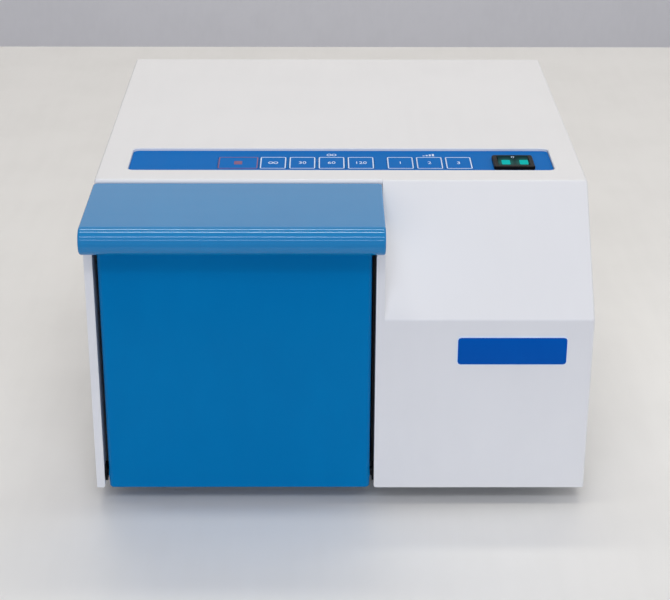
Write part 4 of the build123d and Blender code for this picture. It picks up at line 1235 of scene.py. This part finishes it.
@dataclass
class InletBlades:
    """Plated contact blades over the three tongues in the mains inlet."""

    middle: tuple[float, float] = (-105.0, 50.0)
    spots: tuple[tuple[float, float], ...] = ((-7.0, -2.0), (0.0, 2.0), (7.0, -2.0))
    size: tuple[float, float] = (2.12, 4.12)
    start: float = 155.65
    length: float = 11.05
    bevel: float = 0.4

    def build(self) -> None:
        """Builds the blades."""
        piece = Piece("inlet_blades")
        piece.use(Finish.SCREW)
        turn = Matrix.Rotation(math.radians(-90.0), 4, "X")
        for across, rise in self.spots:
            blade = Piece("blade")
            tip = blade.lift([blade.sheet(*self.size, 0.0)], self.length)
            rim = {edge for vert in tip for edge in vert.link_edges if edge.other_vert(vert) in tip}
            blade.bevel(list(rim), self.bevel, segments=2, affect="EDGES")
            spot = Matrix.Translation((self.middle[0] + across, self.start, self.middle[1] + rise))
            blade.move(spot @ turn)
            piece.take(blade)
        piece.finish("case", "screw_steel")


class Tint(Enum):
    """The colours of the lamps."""

    WARM = (1.0, 0.967, 0.875)
    AMBER = (1.0, 0.92, 0.79)
    COOL = (0.865, 0.905, 1.0)
    SKY = (0.775, 0.843, 1.0)
    PALE = (1.0, 1.0, 0.985)
    WHITE = (1.0, 1.0, 1.0)


@dataclass(frozen=True)
class SoftBox:
    """One lamp with a plain face, its place and aim in metres and its power in watts."""

    name: str
    place: tuple[float, float, float]
    aim: tuple[float, float, float]
    size: tuple[float, float]
    power: float
    tint: Tint
    mirrored: bool = True

    def build(self) -> None:
        """Adds the lamp."""
        data = bpy.data.lights.new(self.name, "AREA")
        data.shape = "RECTANGLE"
        data.size, data.size_y = self.size
        data.energy = self.power
        data.color = self.tint.value
        lamp = bpy.data.objects.new(self.name, data)
        lamp.location = self.place
        lamp.rotation_euler = (Vector(self.aim) - Vector(self.place)).to_track_quat("-Z", "Y").to_euler()
        lamp.visible_camera = False
        lamp.visible_glossy = self.mirrored
        bpy.context.scene.collection.objects.link(lamp)


@dataclass
class Studio:
    """Bench, far wall, soft lamps and the photograph's camera.

    The camera's place and sensor are in millimetres, its turns in degrees, and the rest in metres.
    """

    camera_place: tuple[float, float, float] = (-11.02, -1070.36, 549.45)
    pitch: float = 24.105
    yaw: float = -0.447
    roll: float = 0.2009
    focal_pixels: float = 1714.69
    sensor: float = 36.0
    bench_front: float = -0.42
    bench_end: float = 0.883
    bench_side: float = 3.0
    wall_y: float = 2.9
    wall_side: float = 6.0
    wall_reach: float = 1.5
    room_light: Colour = (0.252, 0.243, 0.263, 1.0)
    room_shown: Colour = (0.47, 0.475, 0.50, 1.0)
    lamps: tuple[SoftBox, ...] = (
        SoftBox("ceiling_row_back", (0.0, 0.61, 2.0), (0.0, 0.5, 0.0), (1.3, 0.16), 7.2, Tint.WARM),
        SoftBox("ceiling_row_middle", (0.0, -0.26, 2.0), (0.0, -0.26, 0.0), (1.3, 0.16), 7.2, Tint.WARM),
        SoftBox("ceiling_row_front", (0.0, -1.88, 2.0), MIDDLE, (1.5, 0.16), 7.0, Tint.COOL),
        SoftBox("front_row", (0.0, -2.6, 1.18), MIDDLE, (1.5, 0.16), 4.0, Tint.SKY),
        SoftBox("back_window", (0.0, 2.4, 1.3), (0.0, 0.4, 0.0), (3.6, 1.8), 8.8, Tint.AMBER),
        SoftBox("front_ceiling", (0.0, -1.7, 1.9), MIDDLE, (2.4, 0.8), 10.2, Tint.COOL, mirrored=False),
        SoftBox("front_window", (0.0, -2.6, 0.7), MIDDLE, (2.4, 0.8), 16.8, Tint.SKY, mirrored=False),
        SoftBox("right_window", (2.2, 0.2, 1.0), (0.1, 0.0, 0.1), (1.2, 1.2), 9.2, Tint.PALE, mirrored=False),
        SoftBox("wall_wash", (0.0, 1.9, 0.6), (0.0, 2.9, -0.5), (3.0, 0.4), 6.2, Tint.WHITE),
    )

    def camera(self) -> None:
        """Sets the camera at the photograph's angle."""
        pitch, yaw, roll = (math.radians(value) for value in (self.pitch, self.yaw, self.roll))
        across = Vector((math.cos(yaw), math.sin(yaw), 0.0))
        ahead = Vector((-math.sin(yaw), math.cos(yaw), 0.0))
        up = Vector((0.0, 0.0, 1.0))
        look = ahead * math.cos(pitch) - up * math.sin(pitch)
        crown = up * math.cos(pitch) + ahead * math.sin(pitch)
        right = across * math.cos(roll) + crown * math.sin(roll)
        top = crown * math.cos(roll) - across * math.sin(roll)
        data = bpy.data.cameras.new("camera")
        data.sensor_width = self.sensor
        data.lens = self.focal_pixels * self.sensor / PHOTO_WIDTH
        camera = bpy.data.objects.new("camera", data)
        bpy.context.scene.collection.objects.link(camera)
        turn = Matrix((right, top, -look)).transposed().to_4x4()
        camera.matrix_world = Matrix.Translation(Vector(self.camera_place) * MM) @ turn
        bpy.context.scene.camera = camera

    def flat(self, name: str, low: Vector, high: Vector, finish: Finish) -> None:
        """Builds a flat stage surface between two corners.

        Args:
            name: Name of the surface.
            low: Lowest corner in metres.
            high: Highest corner in metres.
            finish: Its finish.
        """
        mesh = bmesh.new()
        made = bmesh.ops.create_grid(mesh, x_segments=1, y_segments=1, size=0.5)["verts"]
        size = high - low
        if size.z > 0.0:
            upright = Matrix.Rotation(math.radians(90.0), 3, "X")
            bmesh.ops.rotate(mesh, cent=(0, 0, 0), matrix=upright, verts=made)
        scale = (size.x, size.y or 1.0, size.z or 1.0)
        bmesh.ops.scale(mesh, vec=scale, verts=made)
        bmesh.ops.translate(mesh, vec=(low + high) / 2.0, verts=made)
        data = bpy.data.meshes.new(name)
        mesh.to_mesh(data)
        mesh.free()
        data.materials.append(WORKSHOP.material(finish))
        surface = bpy.data.objects.new(name, data)
        bpy.context.scene.collection.objects.link(surface)

    def light(self) -> None:
        """Sets the even light of the room and the lamps."""
        world = bpy.data.worlds.new("room")
        world.use_nodes = True
        room = NodeTree(world.node_tree)
        ray = room.add("ShaderNodeLightPath").outputs
        seen = ray["Is Camera Ray"]
        for kind in ("Is Glossy Ray", "Is Transmission Ray"):
            seen = room.maths("MAXIMUM", seen, ray[kind])
        shown = room.mix(seen, self.room_light, self.room_shown)
        room.join(shown, room.tree.nodes["Background"].inputs["Color"])
        bpy.context.scene.world = world
        for lamp in self.lamps:
            lamp.build()

    def build(self) -> None:
        """Builds the whole studio."""
        bpy.context.scene.view_settings.view_transform = "Standard"
        self.camera()
        bench_low = Vector((-self.bench_side, self.bench_front, 0.0))
        bench_high = Vector((self.bench_side, self.bench_end, 0.0))
        self.flat("bench", bench_low, bench_high, Finish.BENCH)
        wall_low = Vector((-self.wall_side, self.wall_y, -self.wall_reach))
        wall_high = Vector((self.wall_side, self.wall_y, self.wall_reach))
        self.flat("wall", wall_low, wall_high, Finish.WALL)
        self.light()


def main() -> None:
    """Builds the studio and dresses the object, one sub-assembly after another."""
    logging.basicConfig(level=logging.INFO, format="%(message)s")
    builders = (
        Studio(), CaseDressing(), KeypadPrint(), FrontLabel(), SwitchLight(), CrossScrews(), InletBlades(),
    )
    for builder in builders:
        LOG.info("building %s", type(builder).__name__)
        builder.build()


if __name__ == "__main__":
    main()
